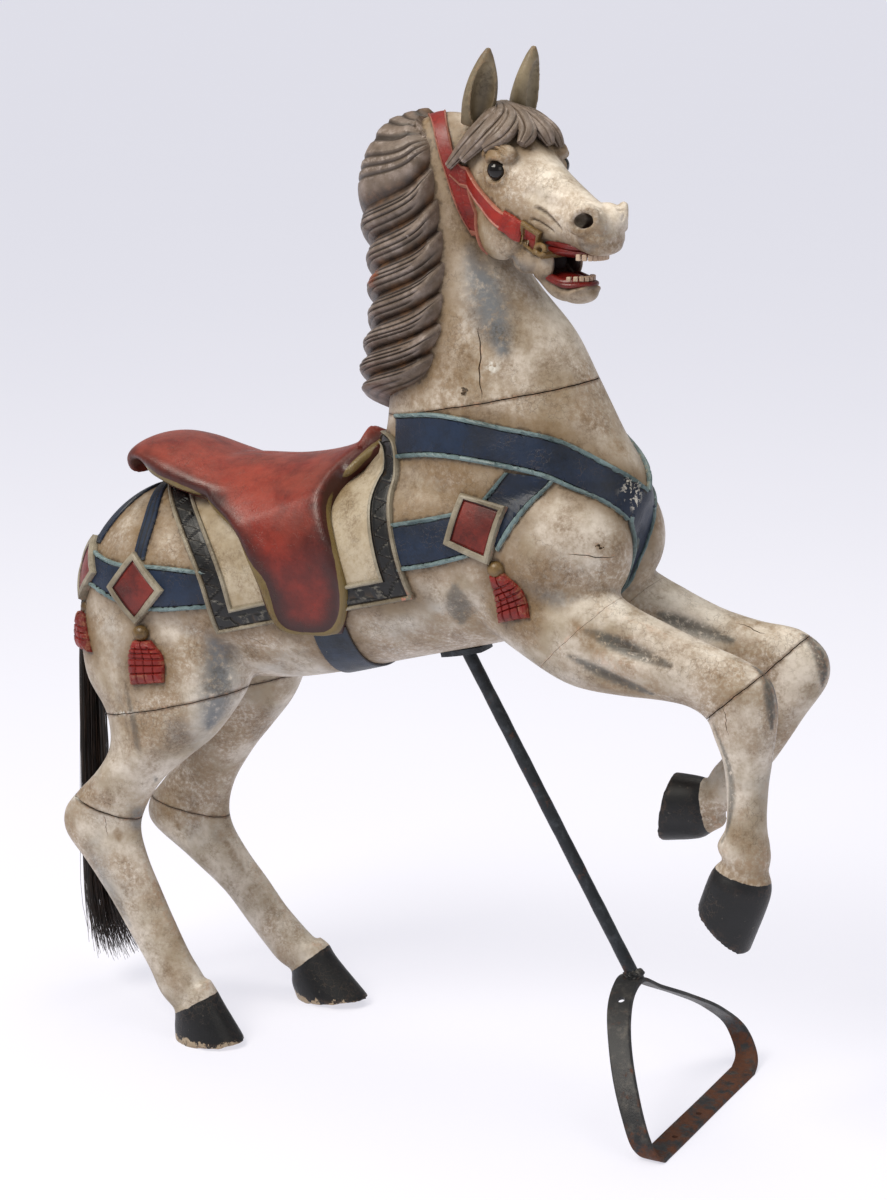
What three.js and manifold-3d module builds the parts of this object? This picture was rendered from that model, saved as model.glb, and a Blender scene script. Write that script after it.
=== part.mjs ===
// A carved and painted carousel horse on its iron prop stand.
// Millimetres. +X is the way the horse faces, +Y is its left side, +Z is up, and the floor is z = 0.
import * as THREE from 'three';
import { mergeVertices } from 'three/addons/utils/BufferGeometryUtils.js';
import Module from 'manifold-3d';

const wasm = await Module();
wasm.setup();

// the middle of the footprint, which becomes x = 0, y = 0
const FOOTPRINT = [-44.5, 2.8];

// ---------------------------------------------------------------- profiles
// A profile row is [x1, z1, x2, z2, y, halfWidth]: the two edges of the form as the side view shows
// them, the height of its middle across the horse, and half its width there.

const TRUNK = [
  [-552, 640, -552, 602, 0, 18],
  [-542, 686, -543, 548, 0, 62],
  [-510, 736, -510, 512, 0, 100],
  [-450, 774, -450, 506, 0, 124],
  [-380, 790, -380, 510, 0, 131],
  [-300, 800, -300, 518, 0, 127],
  [-220, 806, -220, 526, 0, 122],
  [-140, 824, -140, 545, 0, 122],
  [-60, 860, -60, 570, 0, 125],
  [20, 888, 20, 594, 0, 127],
  [100, 900, 100, 618, 0, 126],
  [180, 900, 180, 646, 0, 118],
  [240, 880, 232, 680, 0, 100],
  [278, 856, 256, 704, 0, 74],
  [294, 834, 274, 742, 0, 34],
];
const NECK = [
  [-96, 830, 268, 712, 0, 112],
  [-76, 900, 294, 840, 0, 106],
  [-74, 965, 256, 912, 0, 94],
  [-80, 1030, 224, 972, 0, 82],
  [-90, 1100, 190, 1032, 0, 71],
  [-98, 1174, 142, 1082, -2, 62],
  [-86, 1240, 104, 1128, -6, 56],
  [-50, 1286, 88, 1165, -8, 50],
  [6, 1310, 88, 1205, -8, 42],
  [44, 1308, 96, 1226, -8, 34],
];
const HEAD = [
  [-28, 1300, -14, 1190, 0, 34],
  [0, 1316, 5, 1158, 0, 50],
  [35, 1306, 42, 1140, 0, 58],
  [76, 1282, 80, 1133, 0, 58],
  [112, 1258, 108, 1142, 0, 45],
  [150, 1238, 140, 1150, 0, 35],
  [190, 1218, 172, 1152, 0, 32],
  [216, 1207, 194, 1151, 0, 35],
  [230, 1187, 214, 1151, 0, 30],
  [235, 1174, 226, 1157, 0, 18],
];
const JAW = [
  [40, 1176, 48, 1144, 0, 42],
  [76, 1158, 84, 1132, 0, 36],
  [108, 1140, 108, 1112, 0, 29],
  [138, 1124, 130, 1092, 0, 25],
  [168, 1118, 156, 1087, 0, 26],
  [188, 1119, 180, 1096, 0, 24],
  [197, 1120, 194, 1110, 0, 14],
];
const RIGHT_HIND = [
  [-310, 680, -520, 660, -50, 64],
  [-266, 600, -542, 595, -60, 68],
  [-264, 535, -528, 505, -74, 64],
  [-278, 500, -488, 454, -84, 58],
  [-312, 452, -480, 408, -91, 51],
  [-355, 415, -503, 365, -98, 44],
  [-394, 376, -534, 335, -104, 37],
  [-420, 330, -553, 312, -108, 32],
  [-428, 300, -554, 282, -110, 30],
  [-416, 255, -516, 238, -111, 27],
  [-397, 215, -480, 192, -111, 24],
  [-372, 165, -446, 142, -111, 23],
  [-348, 120, -412, 92, -111, 24],
  [-334, 100, -394, 60, -111, 27],
  [-316, 74, -370, 38, -111, 24],
];
const LEFT_HIND = [
  [-296, 660, -520, 650, 50, 64],
  [-254, 570, -542, 595, 60, 68],
  [-264, 510, -528, 505, 72, 64],
  [-288, 462, -484, 440, 80, 57],
  [-326, 415, -478, 385, 86, 49],
  [-368, 365, -494, 335, 92, 42],
  [-399, 315, -524, 296, 94, 35],
  [-411, 272, -547, 268, 96, 31],
  [-407, 245, -550, 236, 97, 30],
  [-382, 205, -484, 188, 98, 27],
  [-347, 165, -418, 140, 99, 24],
  [-320, 132, -380, 98, 100, 23],
  [-290, 104, -345, 62, 100, 24],
  [-272, 88, -326, 46, 100, 27],
  [-255, 74, -302, 34, 100, 24],
];
const RIGHT_FORE = [
  [150, 790, 100, 650, -52, 62],
  [240, 745, 158, 622, -66, 60],
  [300, 712, 232, 594, -78, 51],
  [360, 692, 306, 591, -84, 43],
  [420, 674, 366, 594, -88, 37],
  [470, 660, 402, 591, -90, 34],
  [504, 640, 424, 579, -90, 33],
  [516, 600, 434, 556, -90, 31],
  [513, 555, 446, 528, -90, 27],
  [507, 500, 452, 485, -90, 23],
  [506, 450, 452, 440, -90, 23],
  [513, 412, 440, 415, -90, 26],
  [512, 398, 450, 400, -90, 26],
  [508, 376, 458, 386, -90, 24],
  [513, 360, 436, 376, -90, 28],
];
const LEFT_FORE = [
  [150, 780, 110, 640, 52, 62],
  [240, 735, 170, 618, 66, 60],
  [300, 698, 245, 592, 78, 50],
  [363, 672, 310, 582, 84, 42],
  [420, 662, 372, 572, 88, 37],
  [475, 657, 405, 565, 90, 34],
  [511, 632, 420, 550, 90, 33],
  [517, 598, 418, 530, 90, 31],
  [484, 540, 402, 500, 90, 27],
  [442, 470, 380, 478, 90, 23],
  [400, 416, 356, 448, 90, 23],
  [370, 384, 350, 432, 90, 26],
  [340, 366, 326, 426, 90, 26],
];
// hooves: the coronet row first, the sole row last
const RIGHT_HIND_HOOF = [
  [-318, 92, -378, 52, -111, 22],
  [-306, 74, -371, 34, -111, 26],
  [-300, 62, -371, 18, -111, 31],
  [-262, 6, -370, -6, -111, 38],
];
const LEFT_HIND_HOOF = [
  [-262, 92, -312, 50, 100, 22],
  [-246, 82, -304, 32, 100, 26],
  [-240, 70, -303, 18, 100, 31],
  [-180, 12, -292, -7, 98, 38],
];
const RIGHT_FORE_HOOF = [
  [508, 392, 456, 402, -90, 22],
  [514, 374, 440, 388, -90, 26],
  [514, 358, 433, 376, -90, 31],
  [486, 274, 418, 331, -90, 35],
];
const LEFT_FORE_HOOF = [
  [378, 374, 358, 428, 90, 22],
  [360, 362, 346, 436, 90, 26],
  [348, 353, 336, 437, 90, 31],
  [288, 339, 302, 437, 90, 35],
];
const BREAST = { centre: [176, 52, 766], half: [120, 74, 102] };

// seat of the saddle, from the curl behind the cantle to the withers
const SEAT = [
  [-458, 799, -448, 796, 0, 52],
  [-471, 806, -447, 800, 0, 60],
  [-475, 826, -444, 810, 0, 66],
  [-460, 842, -436, 814, 0, 72],
  [-432, 850, -420, 800, 0, 80],
  [-392, 848, -392, 780, 0, 90],
  [-345, 836, -345, 770, 0, 96],
  [-290, 825, -290, 765, 0, 98],
  [-220, 825, -220, 765, 0, 94],
  [-150, 842, -150, 790, 0, 82],
  [-105, 864, -105, 820, 0, 66],
  [-76, 884, -76, 850, 0, 36],
];
const TAIL = [
  [-540, 655, -562, 668, 0, 14],
  [-545, 610, -584, 615, 0, 20],
  [-556, 540, -598, 540, 0, 24],
  [-556, 440, -602, 440, 0, 26],
  [-556, 330, -604, 330, 0, 28],
  [-550, 220, -606, 220, 0, 30],
  [-538, 130, -606, 130, 0, 32],
  [-514, 62, -598, 62, 0, 32],
  [-508, 44, -588, 44, 0, 22],
];

// ---------------------------------------------------------------- harness outlines
// Each strap is given by its two edges, [x, y, z] points near the surface of the right side.
const STRAP = 5;
const CLOTH = 3;
const BORDER = 8;
const BADGE = 11;
const STRAPS = [
  // breast strap, from the withers to the point of the breast
  [[[-32, -60, 922], [43, -91, 934], [130, -92, 926], [205, -71, 911], [262, -38, 874], [292, 2, 840]],
    [[-36, -85, 866], [48, -100, 878], [135, -101, 874], [199, -90, 862], [250, -58, 832], [284, 2, 784]]],
  // from the breast strap down to the shoulder diamond
  [[[143, -103, 870], [112, -110, 812]], [[205, -85, 872], [138, -120, 780]]],
  // from the saddle cloth to the shoulder diamond
  [[[-12, -116, 788], [28, -117, 798], [100, -115, 818]], [[4, -126, 729], [47, -126, 739], [104, -126, 758]]],
  // rump strap, round to the tail
  [[[-300, -122, 692], [-373, -123, 691], [-443, -117, 686], [-505, -90, 692], [-552, 2, 700]],
    [[-292, -125, 642], [-387, -129, 628], [-439, -125, 632], [-508, -100, 645], [-560, 2, 654]]],
  // narrow straps from the cantle over the rump
  [[[-424, -16, 780], [-398, -88, 746], [-397, -118, 695]], [[-438, -16, 778], [-418, -88, 740], [-416, -118, 690]]],
  [[[-440, -10, 778], [-474, -62, 742], [-492, -78, 696]], [[-452, -6, 776], [-490, -52, 732], [-508, -70, 694]]],
  // girth
  [[[-140, -108, 632], [-136, -61, 567], [-134, 2, 540]], [[-88, -108, 640], [-82, -61, 575], [-78, 2, 555]]],
];
const CENTRE_STRAP = [[292, -30, 846], [280, -24, 780], [256, -9, 704]];
const BADGES = [
  // shoulder diamond and its tassel
  [[[70, -125, 772], [85, -107, 837]], [[133, -122, 753], [153, -110, 825]]],
  [[[131, -119, 738], [139, -119, 700], [145, -113, 675]], [[152, -119, 744], [176, -121, 722], [190, -123, 688]]],
  // rump diamonds and their tassels
  [[[-455, -120, 652], [-413, -115, 703]], [[-408, -125, 605], [-360, -129, 660]]],
  [[[-540, -52, 660], [-512, -72, 708]], [[-522, -90, 616], [-486, -108, 664]]],
  [[[-413, -129, 582], [-418, -134, 560], [-414, -136, 520]], [[-386, -128, 585], [-366, -132, 565], [-362, -135, 530]]],
  [[[-528, -80, 598], [-534, -66, 548]], [[-512, -92, 598], [-494, -112, 550]]],
];
const KNOBS = [[141, -122, 746], [-402, -131, 594], [-520, -86, 606]];
const KNOB_SIZE = [11, 9, 10];
const CLOTH_REAR = [[-436, 2, 778], [-353, -101, 739], [-307, -125, 679], [-285, -118, 606]];
const CLOTH_FRONT = [[-40, 2, 892], [-30, -70, 890], [-20, -101, 815], [0, -125, 756], [22, -120, 694]];
const CLOTH_FOOT = [[-285, -118, 606], [-228, -114, 610], [-130, -112, 636], [-32, -117, 672], [22, -120, 694]];
const BAND = 42;
const FLAP_REAR = [[-404, 2, 790], [-310, -79, 767], [-247, -104, 737], [-216, -119, 695], [-205, -121, 656],
  [-160, -110, 619]];
const FLAP_FRONT = [[-76, 2, 884], [-112, -58, 830], [-120, -88, 795], [-96, -118, 745], [-74, -121, 690],
  [-118, -106, 620]];

// ---------------------------------------------------------------- mane, head and joints
const MANE_LINE = [[2, 0, 1300], [26, 0, 1205], [38, 0, 1130], [40, 0, 1040], [22, 0, 965], [-8, 0, 938]];
const LOCKS = 10;
const LOCK = { fall: 92, halfHeight: 23, halfDepth: 18, overhang: 21, firstTurn: 88, lastTurn: 188 };
// forelock, in the head's plane: [ahead, offset, height]
const FORELOCK = [
  [[12, -6, 1318], [34, -26, 1306], [38, -48, 1278], [32, -60, 1250]],
  [[16, -2, 1319], [48, -14, 1306], [68, -34, 1288], [74, -46, 1270]],
  [[18, 2, 1319], [52, 6, 1306], [76, 12, 1290], [88, 16, 1276]],
  [[16, 6, 1318], [44, 28, 1304], [62, 44, 1284], [68, 52, 1266]],
];
const HEAD_YAW = -25;
const HEAD_PIVOT = [75, 0, 0];
const EYE = { centre: [66, 47, 1246], radius: 13, gap: 0.35 };
const NOSTRIL = { centre: [206, 25, 1196], rim: [17, 12, 15], hole: [9, 9, 8], into: [3, 9, 1] };
const BROW = { centre: [62, 37, 1262], half: [25, 17, 13] };
const TEETH = [
  { reach: 196, radius: 19, z: 1149, count: 8 },
  { reach: 170, radius: 16, z: 1120, count: 7 },
];
const TOOTH = [6, 7, 9];
const TOOTH_ARC = 2.7;
const GUMS = [
  { centre: [150, 0, 1149], half: [50, 25, 12] },
  { centre: [132, 0, 1119], half: [50, 21, 14] },
];
const EAR = {
  rows: [[20, 0, -18, 0, 0, 14], [23, 30, -21, 30, 0, 17], [19, 60, -17, 60, 0, 14], [9, 88, -7, 88, 0, 8],
    [2, 102, -1, 102, 0, 3]],
  hollow: { centre: [0, -16, 46], half: [15, 18, 44] },
  base: [4, 37, 1297], turn: 70, lean: 16,
};
// bridle straps on the right cheek
const BRIDLE = [
  [[[12, -38, 1300], [35, -56, 1241], [56, -56, 1184], [84, -50, 1140]],
    [[28, -44, 1296], [51, -58, 1238], [73, -60, 1184], [94, -54, 1140]]],
  [[[46, -58, 1252], [104, -78, 1213], [168, -84, 1177]], [[38, -58, 1232], [96, -74, 1192], [158, -80, 1158]]],
];
// saw cuts where the blocks are glued: a point on the cut, its slope in the side view, and its sides
const KERF = 1.2;
const GAP = 0.4;
const FACET = 2.2;
const CUTS = [
  { at: [90, 949], slope: 12.7, length: 480, span: [-190, 190] },
  { at: [-378, 489], slope: 15.5, length: 290, span: [-200, -12] },
  { at: [-378, 475], slope: 15.5, length: 290, span: [12, 200] },
  { at: [-480, 327], slope: -13, length: 170, span: [-200, -15] },
  { at: [-462, 264], slope: -7, length: 170, span: [15, 200] },
  { at: [240, 662], slope: 45, length: 210, span: [-200, 200] },
  { at: [462, 614], slope: 43, length: 190, span: [-200, -15] },
  { at: [465, 627], slope: 46, length: 210, span: [15, 200] },
];
// a point inside each block, to tell it by
const BLOCKS = {
  trunk: [-100, 0, 700], head_and_neck: [60, 0, 1100],
  right_hind_thigh: [-420, -95, 420], left_hind_thigh: [-410, 85, 400],
  right_hind_shank: [-430, -111, 200], left_hind_shank: [-400, 98, 170],
  right_foreleg_upper: [350, -84, 640], left_foreleg_upper: [350, 84, 630],
  right_foreleg_lower: [480, -90, 480], left_foreleg_lower: [420, 90, 480],
};

// ---------------------------------------------------------------- stand
const ROD = { top: [38, 0, 592], foot: [288, 0, 176], radius: 9, overrun: 30 };
const PLATE = { centre: [35, 0, 596], size: [66, 46, 8], slope: 13.5 };
const STRAP_IRON = { width: 32, thickness: 6, leanPerRise: 0.62, atFloor: 396 };
// the foot's loop seen from the front: [across, up]
const FOOT_LOOP = [
  [-150, 3], [0, 3], [140, 3], [172, 16], [181, 48], [150, 84], [90, 122], [34, 152], [0, 172],
  [-38, 168], [-80, 148], [-128, 104], [-164, 52], [-176, 18], [-168, 5],
];
const FOOT_HOLES = { radius: 5, atLeg: [-56, 160], onBase: [-100, -20], screw: 4 };


// ---------------------------------------------------------------- lofting
function outward(geometry) {
  const position = geometry.getAttribute('position');
  const index = geometry.getIndex().array;
  const [a, b, c] = [new THREE.Vector3(), new THREE.Vector3(), new THREE.Vector3()];
  let volume = 0;
  for (let i = 0; i < index.length; i += 3) {
    a.fromBufferAttribute(position, index[i]);
    b.fromBufferAttribute(position, index[i + 1]);
    c.fromBufferAttribute(position, index[i + 2]);
    volume += a.dot(b.cross(c));
  }
  if (volume < 0) index.reverse();
  return geometry;
}

// A closed skin made from a sphere: each ring is laid on one section, the poles close the two ends.
function skin(sides, rings, place) {
  const geometry = new THREE.SphereGeometry(1, sides, rings);
  geometry.deleteAttribute('normal');
  geometry.deleteAttribute('uv');
  const position = geometry.getAttribute('position');
  for (let i = 0; i < position.count; i += 1) {
    const ring = Math.floor(i / (sides + 1));
    const turn = ((i % (sides + 1)) % sides) / sides * 2 * Math.PI;
    const t = THREE.MathUtils.clamp((ring - 1) / (rings - 2), 0, 1);
    const spot = place(t, turn, ring > 0 && ring < rings);
    position.setXYZ(i, spot.x, spot.y, spot.z);
  }
  return outward(mergeVertices(geometry, 1e-4));
}

// A form over profile rows; grow makes it larger all round by that much.
function loft(rows, { sides = 16, rings = 20, grow = 0 } = {}) {
  const edge = (ix, iz) =>
    new THREE.CatmullRomCurve3(rows.map((row) => new THREE.Vector3(row[ix], row[4], row[iz])));
  const [front, back] = [edge(0, 1), edge(2, 3)];
  const widths = new THREE.SplineCurve(rows.map((row, i) => new THREE.Vector2(i, row[5])));
  const middle = (t) => front.getPoint(t).add(back.getPoint(t)).multiplyScalar(0.5);
  return skin(sides, rings, (t, turn, onRing) => {
    const centre = middle(t);
    const axis = front.getPoint(t).sub(centre);
    const along = middle(Math.min(t + 0.01, 1)).sub(middle(Math.max(t - 0.01, 0))).normalize();
    if (t === 0) centre.addScaledVector(along, -grow);
    if (t === 1) centre.addScaledVector(along, grow);
    if (!onRing) return centre;
    const across = new THREE.Vector3().crossVectors(axis, along).normalize();
    centre.addScaledVector(axis, Math.cos(turn) * (1 + grow / axis.length()));
    return centre.addScaledVector(across, Math.sin(turn) * (widths.getPoint(t).y + grow));
  });
}

// ---------------------------------------------------------------- solids
function toSolid(geometry) {
  const plain = new THREE.BufferGeometry();
  plain.setAttribute('position', geometry.getAttribute('position'));
  plain.setIndex(geometry.getIndex());
  const merged = mergeVertices(plain, 1e-4);
  const vertProperties = new Float32Array(merged.getAttribute('position').array);
  const triVerts = new Uint32Array(merged.getIndex().array);
  return new wasm.Manifold(new wasm.Mesh({ numProp: 3, vertProperties, triVerts }));
}

function toGeometry(solid) {
  const mesh = solid.getMesh();
  const geometry = new THREE.BufferGeometry();
  geometry.setAttribute('position', new THREE.BufferAttribute(new Float32Array(mesh.vertProperties), 3));
  geometry.setIndex(new THREE.BufferAttribute(new Uint32Array(mesh.triVerts), 1));
  return geometry;
}

const union = (solids) => solids.reduce((whole, part) => whole.add(part));
const radians = THREE.MathUtils.degToRad;
const vector = ([x, y, z]) => new THREE.Vector3(x, y, z);
const mirrored = (points) => points.map(([x, y, z]) => [x, -y, z]);
const SIDES = [-1, 1];

function ball([x, y, z], [rx, ry, rz], sides = 12) {
  return new THREE.SphereGeometry(1, sides, Math.round(sides * 0.6)).scale(rx, ry, rz).translate(x, y, z);
}

// ---------------------------------------------------------------- the bare horse
const toHeadPlane = new THREE.Matrix4().makeRotationZ(radians(HEAD_YAW)).setPosition(...HEAD_PIVOT);
const onHead = (geometry) => toSolid(geometry.applyMatrix4(toHeadPlane));

// Grown by a strap's thickness, the same horse gives the outside of the straps.
function bareHorse(grow) {
  const legs = [RIGHT_HIND, LEFT_HIND, RIGHT_FORE, LEFT_FORE];
  const hooves = [RIGHT_HIND_HOOF, LEFT_HIND_HOOF, RIGHT_FORE_HOOF, LEFT_FORE_HOOF];
  const breasts = [BREAST.centre, ...mirrored([BREAST.centre])];
  return union([
    toSolid(loft(TRUNK, { sides: 24, rings: 20, grow })),
    toSolid(loft(NECK, { sides: 18, rings: 12, grow })),
    onHead(loft(HEAD, { sides: 16, rings: 14, grow })),
    onHead(loft(JAW, { sides: 10, rings: 9, grow })),
    ...breasts.map((centre) => toSolid(ball(centre, BREAST.half.map((half) => half + grow), 16))),
    ...legs.map((rows) => toSolid(loft(rows, { sides: 12, rings: 18, grow }))),
    ...hooves.map((rows) => toSolid(loft(rows, { sides: 12, rings: 5, grow }))),
  ]);
}

// ---------------------------------------------------------------- harness
const TRUNK_CORE = new THREE.Line3(new THREE.Vector3(-400, 0, 650), new THREE.Vector3(180, 0, 750));
const HEAD_CORE = new THREE.Line3(new THREE.Vector3(90, -8, 1220), new THREE.Vector3(240, -75, 1172));
const CUTTER = { below: -30, above: 30 };

// A curved slab between two edges that runs through the surface: a box's grid laid over them.
function cutter(edgeA, edgeB, { along = 6, core = TRUNK_CORE } = {}) {
  const [a, b] = [edgeA, edgeB].map((edge) => new THREE.CatmullRomCurve3(edge.map(vector)));
  const geometry = new THREE.BoxGeometry(1, 1, 1, along, 1, 1);
  const position = geometry.getAttribute('position');
  for (let i = 0; i < position.count; i += 1) {
    const [u, v] = [position.getX(i) + 0.5, position.getY(i) + 0.5];
    const spot = a.getPoint(u).lerp(b.getPoint(u), v);
    const root = core.closestPointToPoint(spot, true, new THREE.Vector3());
    const outwards = spot.clone().sub(root).normalize();
    spot.addScaledVector(outwards, position.getZ(i) > 0 ? CUTTER.above : CUTTER.below);
    position.setXYZ(i, spot.x, spot.y, spot.z);
  }
  return toSolid(outward(geometry));
}
const bothSides = ([a, b], how) => [cutter(a, b, how), cutter(mirrored(a), mirrored(b), how)];

// What a strap, cloth or badge adds: the grown horse, kept only inside the outlines.
const relief = (grow, cutters) => bareHorse(grow).intersect(union(cutters));
const shifted = (edge, dx, dz) => edge.map(([x, y, z]) => [x + dx, y, z + dz]);

function harness() {
  const bands = [
    [CLOTH_REAR, shifted(CLOTH_REAR, BAND, 4)],
    [shifted(CLOTH_FRONT, -BAND, -12), CLOTH_FRONT],
    [CLOTH_FOOT, shifted(CLOTH_FOOT, 0, BAND)],
  ];
  const knobs = [...KNOBS, ...mirrored(KNOBS)].map((centre) => toSolid(ball(centre, KNOB_SIZE, 8)));
  return [
    relief(STRAP, [
      ...STRAPS.flatMap((edges) => bothSides(edges)),
      cutter(CENTRE_STRAP, mirrored(CENTRE_STRAP), { along: 4 }),
    ]),
    relief(CLOTH, bothSides([CLOTH_REAR, CLOTH_FRONT])),
    relief(BORDER, bands.flatMap((edges) => bothSides(edges))),
    relief(BADGE, [
      ...BADGES.flatMap((edges) => bothSides(edges, { along: 3 })),
      ...bothSides([FLAP_REAR, FLAP_FRONT]),
    ]),
    ...knobs,
  ];
}

// ---------------------------------------------------------------- mane and forelock
// A closed strand over centres, with an upright half-height and an outward half-depth.
function strand(rows, halfHeight, halfDepth) {
  return skin(6, rows.length + 1, (t, turn, onRing) => {
    const { centre, outwards, grow } = rows[Math.round(t * (rows.length - 1))];
    const spot = centre.clone();
    if (!onRing) return spot;
    spot.z += Math.cos(turn) * halfHeight * grow;
    return spot.addScaledVector(outwards, Math.sin(turn) * halfDepth * grow);
  });
}

// How far the bare neck reaches from a point inside it, along a level direction.
const bareMesh = new THREE.Mesh(toGeometry(bareHorse(0)), new THREE.MeshBasicMaterial({ side: THREE.DoubleSide }));
const caster = new THREE.Raycaster();
function reach(origin, direction) {
  const far = 400;
  caster.set(origin.clone().addScaledVector(direction, far), direction.clone().negate());
  const [hit] = caster.intersectObject(bareMesh);
  return far - hit.distance;
}

// One lock: from the side of the neck back and down to the crest, in a slow S.
function lock(start, side) {
  const root = new THREE.CatmullRomCurve3(MANE_LINE.map(vector)).getPoint(start);
  const rows = [];
  for (let s = 0; s <= 1; s += 0.25) {
    const turn = radians(THREE.MathUtils.lerp(LOCK.firstTurn, LOCK.lastTurn, s));
    const outwards = new THREE.Vector3(Math.cos(turn), side * Math.sin(turn), 0);
    const origin = root.clone().setZ(root.z - LOCK.fall * THREE.MathUtils.lerp(s, s * s * (3 - 2 * s), 0.4));
    const centre = origin.addScaledVector(outwards, reach(origin, outwards) + LOCK.overhang * s - 4);
    rows.push({ centre, outwards, grow: Math.sin(Math.PI * (0.14 + 0.76 * s)) });
  }
  return toSolid(strand(rows, LOCK.halfHeight, LOCK.halfDepth));
}

function mane() {
  const starts = Array.from({ length: LOCKS }, (_, i) => i / (LOCKS - 1));
  return starts.flatMap((start) => SIDES.map((side) => lock(start, side)));
}

function forelock() {
  return FORELOCK.map((points) => {
    const curve = new THREE.CatmullRomCurve3(points.map(vector));
    const rows = [0, 0.25, 0.5, 0.75, 1].map((s) => ({
      centre: curve.getPoint(s),
      outwards: new THREE.Vector3(0.45, 0, 0.9),
      grow: 0.55 + 0.45 * Math.sin(Math.PI * s) - 0.25 * s,
    }));
    return onHead(strand(rows, 15, 16));
  });
}

// ---------------------------------------------------------------- head
const onSide = ([u, v, z], side) => [u, v * side, z];

function ear(side) {
  const shell = toSolid(loft(EAR.rows, { sides: 10, rings: 8 }));
  const hollow = toSolid(ball(EAR.hollow.centre, EAR.hollow.half, 10));
  const [u, v, z] = EAR.base;
  const geometry = toGeometry(shell.subtract(hollow));
  geometry.rotateZ(radians(EAR.turn)).rotateY(radians(EAR.lean)).translate(u, -v, z);
  if (side > 0) outward(geometry.scale(1, -1, 1));
  return onHead(geometry);
}

// Square teeth stand round each jaw's bow, from cheek to cheek.
function teeth() {
  return TEETH.flatMap(({ reach: centre, radius, z, count }) =>
    Array.from({ length: count }, (_, i) => {
      const angle = TOOTH_ARC * (i / (count - 1) - 0.5);
      const tooth = new THREE.BoxGeometry(...TOOTH).rotateZ(angle);
      return onHead(tooth.translate(centre + radius * Math.cos(angle), radius * Math.sin(angle), z));
    }));
}

// The bridle's straps, and their twins across the head's own plane.
function bridle() {
  const back = toHeadPlane.clone().invert();
  const across = (edge) => edge.map((point) => {
    const { x, y, z } = vector(point).applyMatrix4(back);
    return new THREE.Vector3(x, -y, z).applyMatrix4(toHeadPlane).toArray();
  });
  const pairs = BRIDLE.flatMap(([a, b]) => [[a, b], [across(a), across(b)]]);
  return relief(STRAP, pairs.map(([a, b]) => cutter(a, b, { along: 5, core: HEAD_CORE })));
}

function headCarving() {
  const bumps = SIDES.flatMap((side) => [
    ear(side),
    onHead(ball(onSide(BROW.centre, side), BROW.half, 10)),
    onHead(ball(onSide(NOSTRIL.centre, side), NOSTRIL.rim, 10)),
  ]);
  const gums = GUMS.map(({ centre, half }) => onHead(ball(centre, half, 10)));
  return [...bumps, ...gums, ...forelock(), ...teeth(), bridle()];
}

function headHollows() {
  const socket = Array(3).fill(EYE.radius + EYE.gap);
  const inNostril = NOSTRIL.centre.map((value, i) => value + NOSTRIL.into[i]);
  return SIDES.flatMap((side) => [
    onHead(ball(onSide(EYE.centre, side), socket, 10)),
    onHead(ball(onSide(inNostril, side), NOSTRIL.hole, 8)),
  ]);
}

// ---------------------------------------------------------------- stand
function upright(geometry, from, to) {
  const [start, end] = [vector(from), vector(to)];
  const turn = new THREE.Quaternion().setFromUnitVectors(new THREE.Vector3(0, 1, 0), end.clone().sub(start).normalize());
  const middle = start.add(end).multiplyScalar(0.5);
  return geometry.applyQuaternion(turn).translate(middle.x, middle.y, middle.z);
}

function rodLike(radius, extra = 0) {
  const [from, to] = [vector(ROD.top), vector(ROD.foot)];
  const length = from.distanceTo(to);
  const over = to.clone().sub(from).multiplyScalar(extra / length);
  return upright(new THREE.CylinderGeometry(radius, radius, length + 2 * extra, 16),
    from.sub(over).toArray(), to.add(over).toArray());
}

function plateBlock(extra = 0) {
  const [length, width, height] = PLATE.size.map((value) => value + 2 * extra);
  return new THREE.BoxGeometry(length, width, height).rotateY(-radians(PLATE.slope)).translate(...PLATE.centre);
}

function outline(offset) {
  const curve = new THREE.CatmullRomCurve3(
    FOOT_LOOP.map(([y, z]) => new THREE.Vector3(y, z, 0)), true, 'centripetal');
  const count = 28;
  return Array.from({ length: count }, (_, i) => {
    const spot = curve.getPoint(i / count);
    const ahead = curve.getTangent(i / count);
    const flat = spot.y < STRAP_IRON.thickness / 2 + 0.6 ? STRAP_IRON.thickness / 2 : spot.y;
    return new THREE.Vector2(spot.x + ahead.y * offset, Math.max(flat - ahead.x * offset, 0));
  });
}

function propFoot(extra = 0) {
  const half = STRAP_IRON.thickness / 2 + extra;
  const shape = new THREE.Shape(outline(half));
  shape.holes.push(new THREE.Path(outline(-half)));
  const loop = new THREE.ExtrudeGeometry(shape, { depth: STRAP_IRON.width, bevelEnabled: false });
  const position = loop.getAttribute('position');
  for (let i = 0; i < position.count; i += 1) {
    const [y, z, across] = [position.getX(i), position.getY(i), position.getZ(i)];
    const x = STRAP_IRON.atFloor + across - STRAP_IRON.width / 2 - STRAP_IRON.leanPerRise * z;
    position.setXYZ(i, x, y, z);
  }
  const merged = mergeVertices(new THREE.BufferGeometry().setAttribute('position', position), 1e-3);
  const drills = FOOT_HOLES.onBase.map((y) => {
    const drill = new THREE.CylinderGeometry(FOOT_HOLES.screw, FOOT_HOLES.screw, 40, 10).rotateX(Math.PI / 2);
    return toSolid(drill.translate(STRAP_IRON.atFloor, y, 0));
  });
  const [legY, legZ] = FOOT_HOLES.atLeg;
  const eye = new THREE.CylinderGeometry(FOOT_HOLES.radius, FOOT_HOLES.radius, 60, 10).rotateX(radians(60));
  drills.push(toSolid(eye.translate(STRAP_IRON.atFloor - STRAP_IRON.leanPerRise * legZ, legY, legZ)));
  return toSolid(outward(merged)).subtract(union(drills));
}

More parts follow.
